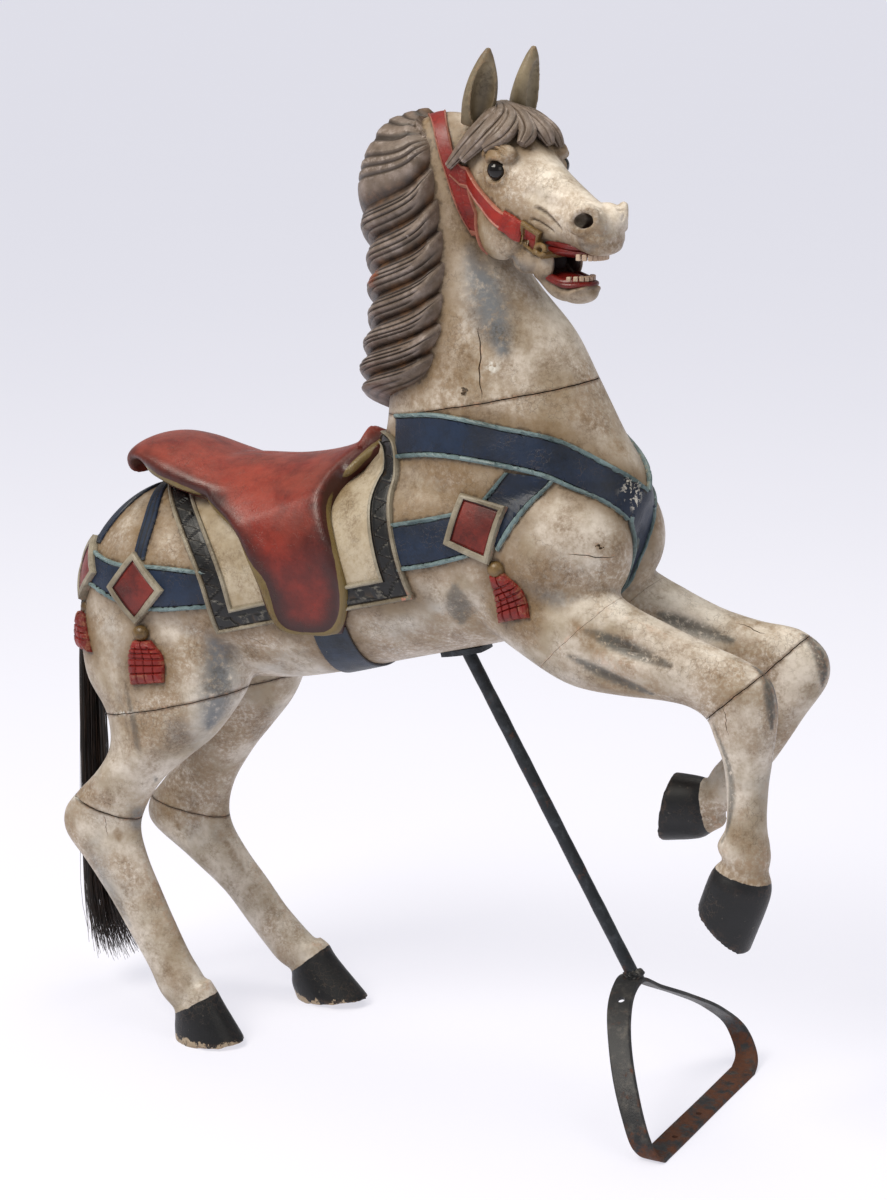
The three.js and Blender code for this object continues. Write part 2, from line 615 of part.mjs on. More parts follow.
// ---------------------------------------------------------------- assembly
const horse = new THREE.Group();
const wood = { color: 0xd8cdb4, roughness: 0.55, metalness: 0 };
const iron = { color: 0x35302d, roughness: 0.7, metalness: 0.8 };
const glass = { color: 0x15110e, roughness: 0.08, metalness: 0 };
const hair = { color: 0x17120f, roughness: 0.6, metalness: 0 };

function piece(name, geometry, look) {
  geometry.translate(-FOOTPRINT[0], -FOOTPRINT[1], 0);
  const mesh = new THREE.Mesh(geometry, new THREE.MeshStandardMaterial(look));
  mesh.name = name;
  horse.add(mesh);
}

function sawCut({ at: [x, z], slope, length, span: [from, to] }) {
  const slab = new THREE.BoxGeometry(length, to - from, KERF).rotateY(-radians(slope));
  return toSolid(slab.translate(x, (from + to) / 2, z));
}

const floorBlock = new THREE.BoxGeometry(2000, 1000, 100).translate(0, 0, -50);

function carvedHorse() {
  const carved = union([bareHorse(0), toSolid(loft(SEAT, { sides: 16, rings: 15 })), ...harness(), ...mane(),
    ...headCarving()]);
  const taken = union([...headHollows(), ...CUTS.map(sawCut), toSolid(floorBlock),
    toSolid(plateBlock(GAP)), toSolid(rodLike(ROD.radius + GAP, ROD.overrun))]);
  return largest(carved.asOriginal().simplify(FACET)).subtract(taken);
}

const largest = (solid) => solid.decompose().sort((a, b) => b.volume() - a.volume())[0];

// The block that a point lies in: a small box there meets it.
function blockAt(blocks, point) {
  const probe = toSolid(new THREE.BoxGeometry(2, 2, 2).translate(...point));
  return blocks.find((block) => block.intersect(probe).volume() > 1);
}

const blocks = carvedHorse().decompose();
for (const [name, point] of Object.entries(BLOCKS)) {
  piece(name, toGeometry(largest(blockAt(blocks, point))), wood);
}

for (const side of SIDES) {
  const eye = ball(onSide(EYE.centre, side), Array(3).fill(EYE.radius), 10).applyMatrix4(toHeadPlane);
  piece(side < 0 ? 'right_eye' : 'left_eye', toGeometry(toSolid(eye)), glass);
}
const tail = toSolid(loft(TAIL, { sides: 10, rings: 9 })).subtract(bareHorse(GAP + STRAP));
piece('tail', toGeometry(largest(tail)), hair);

const rodHole = toSolid(rodLike(ROD.radius + GAP, ROD.overrun));
piece('prop_rod', toGeometry(toSolid(rodLike(ROD.radius)).subtract(propFoot(GAP))), iron);
piece('belly_plate', toGeometry(toSolid(plateBlock()).subtract(rodHole)), iron);
piece('prop_foot', toGeometry(propFoot()), iron);

export default horse;
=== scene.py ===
# %% [markdown]
# # A carved and painted carousel horse on its prop stand
# The horse is glued up from blocks of limewood and carved: a hollow trunk, a solid head and neck, and
# legs in two or three blocks each. It wears carved harness, painted over many times. The lesson goes the
# way the carver goes: first the rough form, then the carving, then the joints, and at the end the paint
# and its wear.

# %% Frame and tools
import math
import bpy
import numpy as np
from mathutils import Matrix, Vector
from mathutils.bvhtree import BVHTree


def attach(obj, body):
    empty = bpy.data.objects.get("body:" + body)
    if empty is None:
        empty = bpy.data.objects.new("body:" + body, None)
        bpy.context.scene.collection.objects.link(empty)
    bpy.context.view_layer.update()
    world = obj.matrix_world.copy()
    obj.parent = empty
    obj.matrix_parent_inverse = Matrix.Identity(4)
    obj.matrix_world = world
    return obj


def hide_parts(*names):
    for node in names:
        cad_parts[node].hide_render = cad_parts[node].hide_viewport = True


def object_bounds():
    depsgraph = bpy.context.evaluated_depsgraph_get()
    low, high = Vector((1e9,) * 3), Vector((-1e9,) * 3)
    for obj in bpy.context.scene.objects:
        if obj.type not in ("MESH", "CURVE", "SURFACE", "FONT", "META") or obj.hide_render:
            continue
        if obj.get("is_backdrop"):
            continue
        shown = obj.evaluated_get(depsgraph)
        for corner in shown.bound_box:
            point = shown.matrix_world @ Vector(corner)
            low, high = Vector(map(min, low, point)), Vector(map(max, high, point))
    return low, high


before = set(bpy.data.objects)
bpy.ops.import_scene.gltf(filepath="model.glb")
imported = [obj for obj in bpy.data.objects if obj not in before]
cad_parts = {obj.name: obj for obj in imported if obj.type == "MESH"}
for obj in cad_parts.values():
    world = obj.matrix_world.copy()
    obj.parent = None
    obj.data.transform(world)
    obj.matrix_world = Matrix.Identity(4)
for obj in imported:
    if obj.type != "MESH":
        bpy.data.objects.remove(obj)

for name in ("Cube", "Light", "Camera"):
    if name in bpy.data.objects:
        bpy.data.objects.remove(bpy.data.objects[name])
cad_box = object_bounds()
rng = np.random.default_rng(7)
print("frame:", [round(b - a, 3) for a, b in zip(*cad_box)], "m, pieces", len(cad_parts))

# %% [markdown]
# Sizes are in millimetres along the horse: x ahead, y to its left, z up from the floor, with y = 0 on the
# horse's own middle. The frame's middle lies a little behind and beside that, so one function moves them
# over.

# %% Places
FOOTPRINT = np.array([-44.5, 2.8, 0.0])


def metres(points):
    """Places in millimetres on the horse, as places in metres in the frame."""
    return (np.asarray(points, float) - FOOTPRINT) * 0.001


def millimetres(points):
    return np.asarray(points, float) * 1000 + FOOTPRINT


def spline(points, t):
    """A smooth line through the points; t runs from 0 to 1."""
    p = np.asarray(points, float)
    last = len(p) - 1
    s = np.clip(np.asarray(t, float), 0, 1) * last
    i = np.minimum(s.astype(int), last - 1)
    w = (s - i)[..., None]
    p1, p2 = p[i], p[i + 1]
    p0 = np.where((i > 0)[..., None], p[np.maximum(i - 1, 0)], 2 * p1 - p2)
    p3 = np.where((i < last - 1)[..., None], p[np.minimum(i + 2, last)], 2 * p2 - p1)
    gap = lambda a, b: np.maximum(np.sqrt(np.linalg.norm(b - a, axis=-1)), 1e-3)[..., None]
    d0, d1, d2 = gap(p0, p1), gap(p1, p2), gap(p2, p3)
    t1 = ((p1 - p0) / d0 - (p2 - p0) / (d0 + d1) + (p2 - p1) / d1) * d1
    t2 = ((p2 - p1) / d1 - (p3 - p1) / (d1 + d2) + (p3 - p2) / d2) * d1
    return p1 + t1 * w + (3 * (p2 - p1) - 2 * t1 - t2) * w**2 + (2 * (p1 - p2) + t1 + t2) * w**3


def unit(v):
    return v / np.maximum(np.linalg.norm(v, axis=-1, keepdims=True), 1e-9)


print("the horse's zero in the frame:", metres((0, 0, 0)).tolist(), "m")

# %% [markdown]
# Every carved form starts as a ball. Its rings are laid on the sections of the form, as a carver lays
# templates against the block, and its poles close the two ends. Joined forms are fused by a voxel remesh,
# the way wood is one mass, and then smoothed as rasps and sandpaper do.

# %% Points and selection
def only(obj):
    bpy.ops.object.select_all(action="DESELECT")
    obj.select_set(True)
    bpy.context.view_layer.objects.active = obj
    return obj


def coords(obj):
    co = np.empty(len(obj.data.vertices) * 3, np.float32)
    obj.data.vertices.foreach_get("co", co)
    return co.reshape(-1, 3).astype(float)


def set_coords(obj, co):
    obj.data.vertices.foreach_set("co", np.asarray(co, np.float32).ravel())
    obj.data.update()


def normals(obj):
    n = np.empty(len(obj.data.vertices) * 3, np.float32)
    obj.data.vertices.foreach_get("normal", n)
    return n.reshape(-1, 3).astype(float)


def face_out(obj):
    only(obj)
    bpy.ops.object.mode_set(mode="EDIT")
    bpy.ops.mesh.select_all(action="SELECT")
    bpy.ops.mesh.normals_make_consistent(inside=False)
    bpy.ops.object.mode_set(mode="OBJECT")
    return obj

# %% [markdown]
# The ball is Blender's own UV sphere. Its vertices lie in rings from pole to pole, and their height and
# compass angle tell which ring and which turn each belongs to. A form can then be laid out in those two
# numbers, and the two poles close its ends, which a swept tube would leave open.

# %% Balls and lofts
def ball_grid(name, sides, rings):
    """A unit ball, with the ring and the turn of each of its vertices."""
    bpy.ops.object.select_all(action="DESELECT")
    bpy.ops.mesh.primitive_uv_sphere_add(segments=sides, ring_count=rings, radius=1)
    obj = bpy.context.object
    obj.name = obj.data.name = name
    co = coords(obj)
    ring = np.rint(np.arccos(np.clip(co[:, 2], -1, 1)) / math.pi * rings).astype(int)
    turn = np.mod(np.arctan2(co[:, 1], co[:, 0]), 2 * math.pi)
    return obj, ring, turn


def loft(name, rows, sides=48, rings=70):
    """A form over rows of [x1, z1, x2, z2, y, half width]: its two edges from the side, and its width."""
    rows = np.array(rows, float)
    obj, ring, turn = ball_grid(name, sides, rings)
    t = np.clip((ring - 1) / (rings - 2), 0, 1)
    on = ((ring > 0) & (ring < rings)).astype(float)[:, None]
    front = lambda s: spline(rows[:, [0, 4, 1]], s)
    middle = lambda s: (front(s) + spline(rows[:, [2, 4, 3]], s)) / 2
    axis = front(t) - middle(t)
    along = unit(middle(t + 0.01) - middle(t - 0.01))
    half = spline(np.c_[np.arange(len(rows)), rows[:, 5]], t)[:, 1]
    across = unit(np.cross(axis, along)) * half[:, None]
    set_coords(obj, metres(middle(t) + on * (axis * np.cos(turn)[:, None] + across * np.sin(turn)[:, None])))
    return face_out(obj)


def ball(name, centre, half, sides=40):
    obj, _, _ = ball_grid(name, sides, sides // 2)
    set_coords(obj, metres(coords(obj) * np.array(half) + np.array(centre)))
    return obj

# %% [markdown]
# Modifiers are applied as soon as they are added, so each piece ends as plain mesh. Forms could be joined
# by booleans, but those leave sharp seams where a carver leaves none. A voxel remesh puts one skin round
# them all, and smoothing melts what is left of the seams. A search tree finds the nearest wood for
# everything that is laid on it later.

# %% Joining and fusing
def apply(obj, kind, **settings):
    only(obj)
    modifier = obj.modifiers.new(kind.lower(), kind)
    for key, value in settings.items():
        setattr(modifier, key, value)
    bpy.ops.object.modifier_apply(modifier=modifier.name)
    return obj


def joined(name, objs):
    only(objs[0])
    for obj in objs:
        obj.select_set(True)
    if len(objs) > 1:
        bpy.ops.object.join()
    objs[0].name = objs[0].data.name = name
    return objs[0]


def fused(name, objs, voxel, rounds):
    """One skin round several forms, smoothed."""
    obj = joined(name, objs)
    apply(obj, "REMESH", mode="VOXEL", voxel_size=voxel * 0.001, adaptivity=0)
    return apply(obj, "SMOOTH", factor=0.5, iterations=rounds)


def tree_of(*objs):
    """A search tree over the surfaces of the objects, for laying things on them."""
    verts, faces = [], []
    for obj in objs:
        start = len(verts)
        verts += [v.co.copy() for v in obj.data.vertices]
        faces += [[start + i for i in p.vertices] for p in obj.data.polygons]
    return BVHTree.FromPolygons(verts, faces)


# %% [markdown]
# ## The body
# The rows give the horse's outline from the side and its width at each place. The trunk slopes up to the
# chest, because the horse rears. Each row is a station that could be checked on the real horse with
# callipers.

# %% Profiles of trunk, neck and legs
TRUNK = [
    [-552, 640, -552, 602, 0, 18], [-542, 686, -543, 548, 0, 62], [-510, 736, -510, 512, 0, 100],
    [-450, 774, -450, 506, 0, 124], [-380, 790, -380, 510, 0, 131], [-300, 800, -300, 518, 0, 127],
    [-220, 806, -220, 526, 0, 122], [-140, 824, -140, 545, 0, 122], [-60, 860, -60, 570, 0, 125],
    [20, 888, 20, 594, 0, 127], [100, 900, 100, 618, 0, 126], [180, 900, 180, 646, 0, 118],
    [240, 880, 232, 680, 0, 100], [278, 856, 256, 704, 0, 74], [294, 834, 274, 742, 0, 34]]
NECK = [
    [-96, 830, 268, 712, 0, 112], [-76, 900, 294, 840, 0, 106], [-74, 965, 256, 912, 0, 94],
    [-80, 1030, 224, 972, 0, 82], [-90, 1100, 190, 1032, 0, 71], [-98, 1174, 142, 1082, -2, 62],
    [-86, 1240, 104, 1128, -6, 56], [-50, 1286, 88, 1165, -8, 50], [6, 1310, 88, 1205, -8, 42],
    [44, 1308, 96, 1226, -8, 34]]
RIGHT_HIND = [
    [-310, 680, -520, 660, -50, 64], [-266, 600, -542, 595, -60, 68], [-264, 535, -528, 505, -74, 64],
    [-278, 500, -488, 454, -84, 58], [-312, 452, -480, 408, -91, 51], [-355, 415, -503, 365, -98, 44],
    [-394, 376, -534, 335, -104, 37], [-420, 330, -553, 312, -108, 32], [-428, 300, -554, 282, -110, 30],
    [-416, 255, -516, 238, -111, 27], [-397, 215, -480, 192, -111, 24], [-372, 165, -446, 142, -111, 23],
    [-348, 120, -412, 92, -111, 24], [-334, 100, -394, 60, -111, 27], [-316, 74, -370, 38, -111, 24]]
LEFT_HIND = [
    [-296, 660, -520, 650, 50, 64], [-254, 570, -542, 595, 60, 68], [-264, 510, -528, 505, 72, 64],
    [-288, 462, -484, 440, 80, 57], [-326, 415, -478, 385, 86, 49], [-368, 365, -494, 335, 92, 42],
    [-399, 315, -524, 296, 94, 35], [-411, 272, -547, 268, 96, 31], [-407, 245, -550, 236, 97, 30],
    [-382, 205, -484, 188, 98, 27], [-347, 165, -418, 140, 99, 24], [-320, 132, -380, 98, 100, 23],
    [-290, 104, -345, 62, 100, 24], [-272, 88, -326, 46, 100, 27], [-255, 74, -302, 34, 100, 24]]
RIGHT_FORE = [
    [150, 790, 100, 650, -52, 62], [240, 745, 158, 622, -66, 60], [300, 712, 232, 594, -78, 51],
    [360, 692, 306, 591, -84, 43], [420, 674, 366, 594, -88, 37], [470, 660, 402, 591, -90, 34],
    [504, 640, 424, 579, -90, 33], [516, 600, 434, 556, -90, 31], [513, 555, 446, 528, -90, 27],
    [507, 500, 452, 485, -90, 23], [506, 450, 452, 440, -90, 23], [513, 412, 440, 415, -90, 26],
    [512, 398, 450, 400, -90, 26], [508, 376, 458, 386, -90, 24], [513, 360, 436, 376, -90, 28]]
LEFT_FORE = [
    [150, 780, 110, 640, 52, 62], [240, 735, 170, 618, 66, 60], [300, 698, 245, 592, 78, 50],
    [363, 672, 310, 582, 84, 42], [420, 662, 372, 572, 88, 37], [475, 657, 405, 565, 90, 34],
    [511, 632, 420, 550, 90, 33], [517, 598, 418, 530, 90, 31], [484, 540, 402, 500, 90, 27],
    [442, 470, 380, 478, 90, 23], [400, 416, 356, 448, 90, 23], [370, 384, 350, 432, 90, 26],
    [340, 366, 326, 426, 90, 26]]
HOOVES = {
    "right_hind": [[-318, 92, -378, 52, -111, 22], [-306, 74, -371, 34, -111, 26],
                   [-300, 62, -371, 18, -111, 31], [-262, 6, -370, -6, -111, 38]],
    "left_hind": [[-262, 92, -312, 50, 100, 22], [-246, 82, -304, 32, 100, 26],
                  [-240, 70, -303, 18, 100, 31], [-180, 12, -292, -7, 98, 38]],
    "right_fore": [[508, 392, 456, 402, -90, 22], [514, 374, 440, 388, -90, 26],
                   [514, 358, 433, 376, -90, 31], [486, 274, 418, 331, -90, 35]],
    "left_fore": [[378, 374, 358, 428, 90, 22], [360, 362, 346, 436, 90, 26],
                  [348, 353, 336, 437, 90, 31], [288, 339, 302, 437, 90, 35]]}
print("stations:", len(TRUNK), "in the trunk,", len(NECK), "in the neck")

# %% [markdown]
# The lofts and the two round masses of the breast overlap deeply, as glued blocks do. They are fused with
# a grain of 4 mm and smoothed. The hooves come after the smoothing, so their edges stay crisper than the
# muscles.

# %% The rough body
BREAST = {"centre": (176, 52, 766), "half": (120, 74, 102)}
VOXEL = 4.0

parts = [loft("trunk_form", TRUNK, 72, 90), loft("neck_form", NECK, 64, 60)]
parts += [ball("breast", (x, y * side, z), BREAST["half"], 56)
          for side in (-1, 1) for x, y, z in [BREAST["centre"]]]
parts += [loft("leg", rows, 40, 80) for rows in (RIGHT_HIND, LEFT_HIND, RIGHT_FORE, LEFT_FORE)]
body = fused("body", parts, VOXEL, 14)
hooves = [loft("hoof_" + name, rows, 48, 26) for name, rows in HOOVES.items()]
body = fused("body", [body, *hooves], VOXEL, 2)
print("body form:", len(body.data.vertices), "vertices")


# %% [markdown]
# The gouge comes next: long hollows down the forearms, the stifle fold, the flanks and the cleft of the
# chest. Each cut is a line with a width and a depth. The line is first moved onto the wood, and then the
# surface near it sinks along its own normal.

# %% The gouge
def along(line, steps=60):
    """Points evenly along a smooth line through a few places."""
    line = np.array(line, float)
    t = np.linspace(0, 1, steps)
    return spline(line, t) if len(line) > 2 else line[0] + t[:, None] * (line[1] - line[0])


def closest(points, path):
    """The distance in mm of each point from a path, and how far along the path that is."""
    best = np.full(len(points), 1e9)
    place = np.zeros(len(points))
    for i in range(len(path) - 1):
        a, d = path[i], path[i + 1] - path[i]
        s = np.clip(((points - a) @ d) / max(d @ d, 1e-9), 0, 1)
        gap = np.linalg.norm(points - a - s[:, None] * d, axis=1)
        nearer = gap < best
        best[nearer] = gap[nearer]
        place[nearer] = ((i + s) / (len(path) - 1))[nearer]
    return best, place


def laid(points, path):
    """The path moved onto the nearest of the points and evened out."""
    path = np.array([points[np.argmin(np.sum((points - spot) ** 2, axis=1))] for spot in path])
    padded = np.pad(path, ((3, 3), (0, 0)), mode="edge")
    return np.mean([padded[k:k + len(path)] for k in range(7)], axis=0)


def carve(obj, line, width, depth, taper=0.15):
    """Sinks a groove of that width and depth in mm; a negative depth raises a ridge.
    The taper is the share at each end where the groove runs out, so 0.5 makes a leaf."""
    co, n = coords(obj), normals(obj)
    mm = millimetres(co)
    low, high = np.min(line, axis=0) - 3 * width - 15, np.max(line, axis=0) + 3 * width + 15
    near = np.all((mm > low) & (mm < high), axis=1)
    gap, place = closest(mm[near], laid(mm[near], along(line)))
    ends = np.clip(np.minimum(place, 1 - place) / taper, 0, 1) if taper else 1
    co[near] -= n[near] * (depth * 0.001 * ends * np.exp(-(gap / width) ** 2))[:, None]
    set_coords(obj, co)

# %% [markdown]
# Both sides of a horse are cut alike, so most lines are given once, for its right side, and repeated on
# its left. A sculpting brush gives the same hollows, but a listed line can be measured and moved, and is
# cut again each time the form under it changes.

# %% Gouge cuts
def both(line):
    return [line, [(x, -y, z) for x, y, z in line]]


GOUGES = [
    (both([(264, -121, 682), (322, -116, 664), (380, -122, 652)]), 12, 8),
    (both([(250, -125, 646), (304, -116, 624), (356, -116, 609)]), 11, 7),
    (both([(292, 41, 669), (345, 48, 654), (394, 54, 641)]), 11, 6),
    (both([(240, -112, 716), (330, -112, 704), (430, -112, 672)]), 10, -3),
    (both([(120, -96, 706), (190, -120, 700), (262, -112, 706)]), 16, 5),
    (both([(60, -120, 690), (92, -118, 668), (112, -108, 640)]), 22, 5),
    (both([(-262, -112, 610), (-272, -118, 560), (-292, -104, 512)]), 22, 7),
    (both([(-470, -132, 540), (-440, -148, 470), (-404, -140, 402)]), 9, 4),
    (both([(-470, -130, 372), (-500, -132, 350), (-520, -130, 330)]), 8, 2),
    ([[(296, 0, 830), (292, 0, 770), (262, 0, 700)]], 12, 5),
    ([[(-548, 0, 640), (-540, 0, 580), (-520, 0, 520)]], 12, 6),
]
for lines, width, depth in GOUGES:
    for line in lines:
        carve(body, line, width, depth, taper=0.4)
apply(body, "SMOOTH", factor=0.5, iterations=2)
body_tree = tree_of(body)
print("gouges:", sum(len(lines) for lines, _, _ in GOUGES))

# %% [markdown]
# ## The head
# The head is turned a little to the horse's right. It is measured in its own plane: ahead of the poll,
# off to the left and up. Its long bony face, round jowls, flared nostrils and open mouth are separate
# masses, fused at a finer grain than the body because the eyelids and wrinkles are only a millimetre or
# two deep.

# %% The head's plane and profile
HEAD = [
    [-28, 1300, -14, 1190, 0, 34], [0, 1316, 5, 1158, 0, 50], [35, 1306, 42, 1140, 0, 57],
    [76, 1282, 80, 1133, 0, 55], [112, 1258, 108, 1142, 0, 44], [150, 1238, 140, 1150, 0, 35],
    [190, 1218, 172, 1152, 0, 32], [216, 1207, 194, 1151, 0, 33], [230, 1187, 214, 1151, 0, 29],
    [235, 1174, 226, 1157, 0, 18]]
JAW = [
    [40, 1176, 48, 1144, 0, 44], [76, 1172, 84, 1134, 0, 43], [108, 1158, 108, 1114, 0, 35],
    [138, 1124, 130, 1092, 0, 24], [168, 1112, 156, 1087, 0, 25], [188, 1112, 180, 1094, 0, 23],
    [197, 1112, 194, 1106, 0, 14]]
HEAD_TURN = Matrix.Rotation(math.radians(-25), 4, "Z")
HEAD_ROOT = np.array([75.0, 0.0, 0.0])
EYE = (68, 50, 1246)
EYE_RADIUS = 13


def from_head(points):
    """Places in the head's plane, as places on the horse."""
    turn = np.array(HEAD_TURN.to_3x3())
    return np.asarray(points, float) @ turn.T + HEAD_ROOT


def to_head(points):
    turn = np.array(HEAD_TURN.to_3x3())
    return (np.asarray(points, float) - HEAD_ROOT) @ turn


def on_head(obj):
    """Turns a form made in the head's plane into its place on the horse."""
    set_coords(obj, metres(from_head(millimetres(coords(obj)))))
    return obj


def twice(make):
    """Makes something on the horse's right, side -1, and on its left, side 1."""
    return [make(side) for side in (-1, 1)]


def tube(name, path, radius, sides=14):
    """A closed round rod along points; the radius may be one number for each point."""
    path = np.asarray(path, float)
    obj, ring, turn = ball_grid(name, sides, len(path) + 1)
    i = np.clip(ring - 1, 0, len(path) - 1)
    ahead = unit(np.gradient(path, axis=0))
    up = np.where(np.abs(ahead[:, 2:3]) > 0.9, [[1.0, 0, 0]], [[0, 0, 1.0]])
    a = unit(np.cross(ahead, up))
    b = np.cross(a, ahead)
    r = (np.broadcast_to(radius, len(path))[i] * ((ring > 0) & (ring < len(path) + 1)))[:, None]
    set_coords(obj, metres(path[i] + r * (a[i] * np.cos(turn)[:, None] + b[i] * np.sin(turn)[:, None])))
    return face_out(obj)


print("stations:", len(HEAD), "in the face,", len(JAW), "in the jaw")

# %% [markdown]
# A horse's face has bone close under the skin: long flat cheeks, a ridge over the eye, round jowls and
# soft lips. Each is a ball or a loft that overlaps the next. The nostril's rim is a tube bent into a
# ring, because a tube keeps its thickness all the way round.

# %% Masses of the head
NOSTRIL = (215, 30, 1196)


def nostril_rim(side):
    """The raised rim of a nostril, which opens ahead and to the side."""
    t = np.linspace(0, 2 * math.pi, 33)[:, None]
    along_rim = np.array([-0.78, 0.62 * side, -0.2])
    centre = np.array([NOSTRIL[0], (NOSTRIL[1] + 2) * side, NOSTRIL[2]], float)
    return tube("rim", centre + 16 * np.cos(t) * along_rim + 13 * np.sin(t) * [0, 0, 1], 6)


HEAD_VOXEL = 1.8
MASSES = [  # centre, half sizes
    ((62, 40, 1176), (44, 17, 44)), ((60, 42, 1266), (30, 17, 14)), ((60, 40, 1244), (26, 15, 20)),
    ((204, 16, 1190), (30, 19, 24)), ((150, 20, 1196), (44, 14, 18)), ((30, 34, 1290), (34, 16, 18)),
    ((126, 23, 1134), (22, 8, 24)), ((100, 28, 1138), (24, 12, 20)),
]
head_parts = [loft("face", HEAD, 56, 60), loft("jaw", JAW, 40, 40)]
head_parts += [ball("mass", (u, v * side, z), half) for side in (-1, 1) for (u, v, z), half in MASSES]
head_parts += [nostril_rim(side) for side in (-1, 1)]
head_parts.append(ball("upper_lip", (213, 0, 1163), (21, 29, 13)))
head_parts.append(ball("chin", (170, 0, 1100), (26, 24, 14)))
head = on_head(fused("head", head_parts, HEAD_VOXEL, 7))
print("head form:", len(head.data.vertices), "vertices")


# %% [markdown]
# Eyelids, wrinkles and nostrils are carved. A ridge round the eye makes the lids, three arcs above it are
# the worried wrinkles that such horses have, and two slanting cuts lie in the cheek behind the nostril.

# %% Face carving
def arc_round(centre, radius, start, end, lift=0.0):
    """An arc on the side of the head, round a point; angles go from ahead to up, in degrees."""
    u, v, z = centre
    angles = np.radians(np.linspace(start, end, 7))
    return [(u + radius * math.cos(a), v + math.copysign(lift, v), z + radius * math.sin(a)) for a in angles]


for side in (-1, 1):
    eye = (EYE[0], (EYE[1] + 6) * side, EYE[2])
    lids = from_head(arc_round(eye, EYE_RADIUS + 5, 0, 360))
    carve(head, lids, 3.6, -3.2, taper=0)
    for radius, depth in ((23, 2.2), (27, 2.0), (31, 1.8)):
        carve(head, from_head(arc_round((66, 50 * side, 1246), radius, 40, 150)), 1.5, depth)
    carve(head, from_head([(44, 60 * side, 1244), (34, 60 * side, 1238)]), 1.6, 1.4)
    carve(head, from_head([(128, 44 * side, 1206), (150, 40 * side, 1196), (176, 38 * side, 1176)]), 2.6, 4.6)
    carve(head, from_head([(122, 44 * side, 1190), (138, 42 * side, 1184), (160, 38 * side, 1170)]), 2.4, 4.2)
    carve(head, from_head([(110, 42 * side, 1226), (150, 36 * side, 1212), (190, 30 * side, 1206)]), 10, 3)
    carve(head, from_head([(96, 46 * side, 1196), (90, 48 * side, 1170), (104, 40 * side, 1140)]), 8, 2.5)
    carve(head, from_head([(226, 12 * side, 1212), (234, 18 * side, 1204), (236, 14 * side, 1192)]), 1.8, 1.6)
print("eyes at", EYE, "mm in the head's plane")

# %% [markdown]
# The sockets and nostrils are cut deep with balls. The socket is a third of a millimetre wider than the
# glass eye, which is put in later, and the opening between the lids is cut wider than it is high.

# %% Eye sockets and nostrils
def cut(obj, *cutters):
    """Takes the cutters' shapes out of obj."""
    for cutter in cutters:
        apply(obj, "BOOLEAN", operation="DIFFERENCE", solver="MANIFOLD", object=cutter)
        bpy.data.objects.remove(cutter)
    return obj


for name, (u, v, z), half, sides in (
        ("socket", EYE, [EYE_RADIUS + 0.35] * 3, 40),
        ("opening", (EYE[0] + 8, 60, EYE[2] - 1), (16, 11, 11.5), 40),
        ("nostril", (NOSTRIL[0], NOSTRIL[1] - 1, NOSTRIL[2]), (14, 14, 10.5), 32)):
    cut(head, *[on_head(ball(name, (u, v * side, z), half, sides)) for side in (-1, 1)])
head_tree = tree_of(head, body)
print("head carved:", len(head.data.vertices), "vertices")


# %% [markdown]
# ## Blocks and their open joints
# The old glue lines have opened: the blocks are cut apart where the saw went, with kerfs of one to three
# millimetres that waver a little, wider at the back of the hocks where the wood has shrunk.

# %% The saw
# a point on the joint, its slope, its length, from side to side, and how far it gapes at rear and front
CUTS = [
    ((90, 949), 12.7, 480, (-190, 190), (1.0, 1.6)), ((-378, 489), 15.5, 290, (-200, -12), (1.5, 1.0)),
    ((-378, 475), 15.5, 290, (12, 200), (1.5, 1.0)), ((-480, 327), -13, 170, (-200, -15), (4.4, 0.8)),
    ((-462, 264), -7, 170, (15, 200), (2.0, 1.0)), ((240, 662), 45, 210, (-200, 200), (0.4, 0.4)),
    ((462, 614), 43, 190, (-200, -15), (1.3, 1.0)), ((465, 627), 46, 210, (15, 200), (1.4, 1.0))]


def saw(place, slope, length, sides, gape):
    bpy.ops.mesh.primitive_cube_add(size=1)
    slab = bpy.context.object
    apply(slab, "SUBSURF", subdivision_type="SIMPLE", levels=6, render_levels=6)
    co = coords(slab)
    wander = np.sin(co[:, 0] * 31 + co[:, 1] * 9) + 0.6 * np.sin(co[:, 0] * 83 + co[:, 1] * 47)
    thick = gape[0] + (gape[1] - gape[0]) * (co[:, 0] + 0.5)
    x = co[:, 0] * length
    z = co[:, 2] * thick + 0.35 * wander
    a = math.radians(slope)
    y = (sides[0] + sides[1]) / 2 + co[:, 1] * (sides[1] - sides[0])
    set_coords(slab, metres(np.c_[place[0] + x * math.cos(a) - z * math.sin(a), y,
                                  place[1] + x * math.sin(a) + z * math.cos(a)]))
    return slab


print("joints to saw:", len(CUTS))

# %% [markdown]
# One boolean takes the kerfs, and whatever lies below the floor, out of the body. The parts that come
# loose are the blocks, and each is found again by a place that is surely inside it. Anything that is no
# block was a chip, and is swept away.

# %% Sawing the body into blocks
bpy.ops.mesh.primitive_cube_add(size=2, location=(0, 0, -1))
cut(body, bpy.context.object, *[saw(*joint) for joint in CUTS])
only(body)
bpy.ops.mesh.separate(type="LOOSE")
loose = list(bpy.context.selected_objects)
PROBES = {
    "trunk": (-100, 0, 700), "neck": (60, 0, 1100),
    "right_hind_thigh": (-420, -95, 420), "left_hind_thigh": (-410, 85, 400),
    "right_hind_shank": (-430, -111, 200), "left_hind_shank": (-400, 98, 170),
    "right_foreleg_upper": (350, -84, 640), "left_foreleg_upper": (350, 84, 630),
    "right_foreleg_lower": (480, -90, 480), "left_foreleg_lower": (420, 90, 480)}


def around(obj, point):
    co = coords(obj)
    inside = np.all((co.min(0) < point) & (co.max(0) > point))
    return np.prod(co.max(0) - co.min(0)) if inside else 1e9


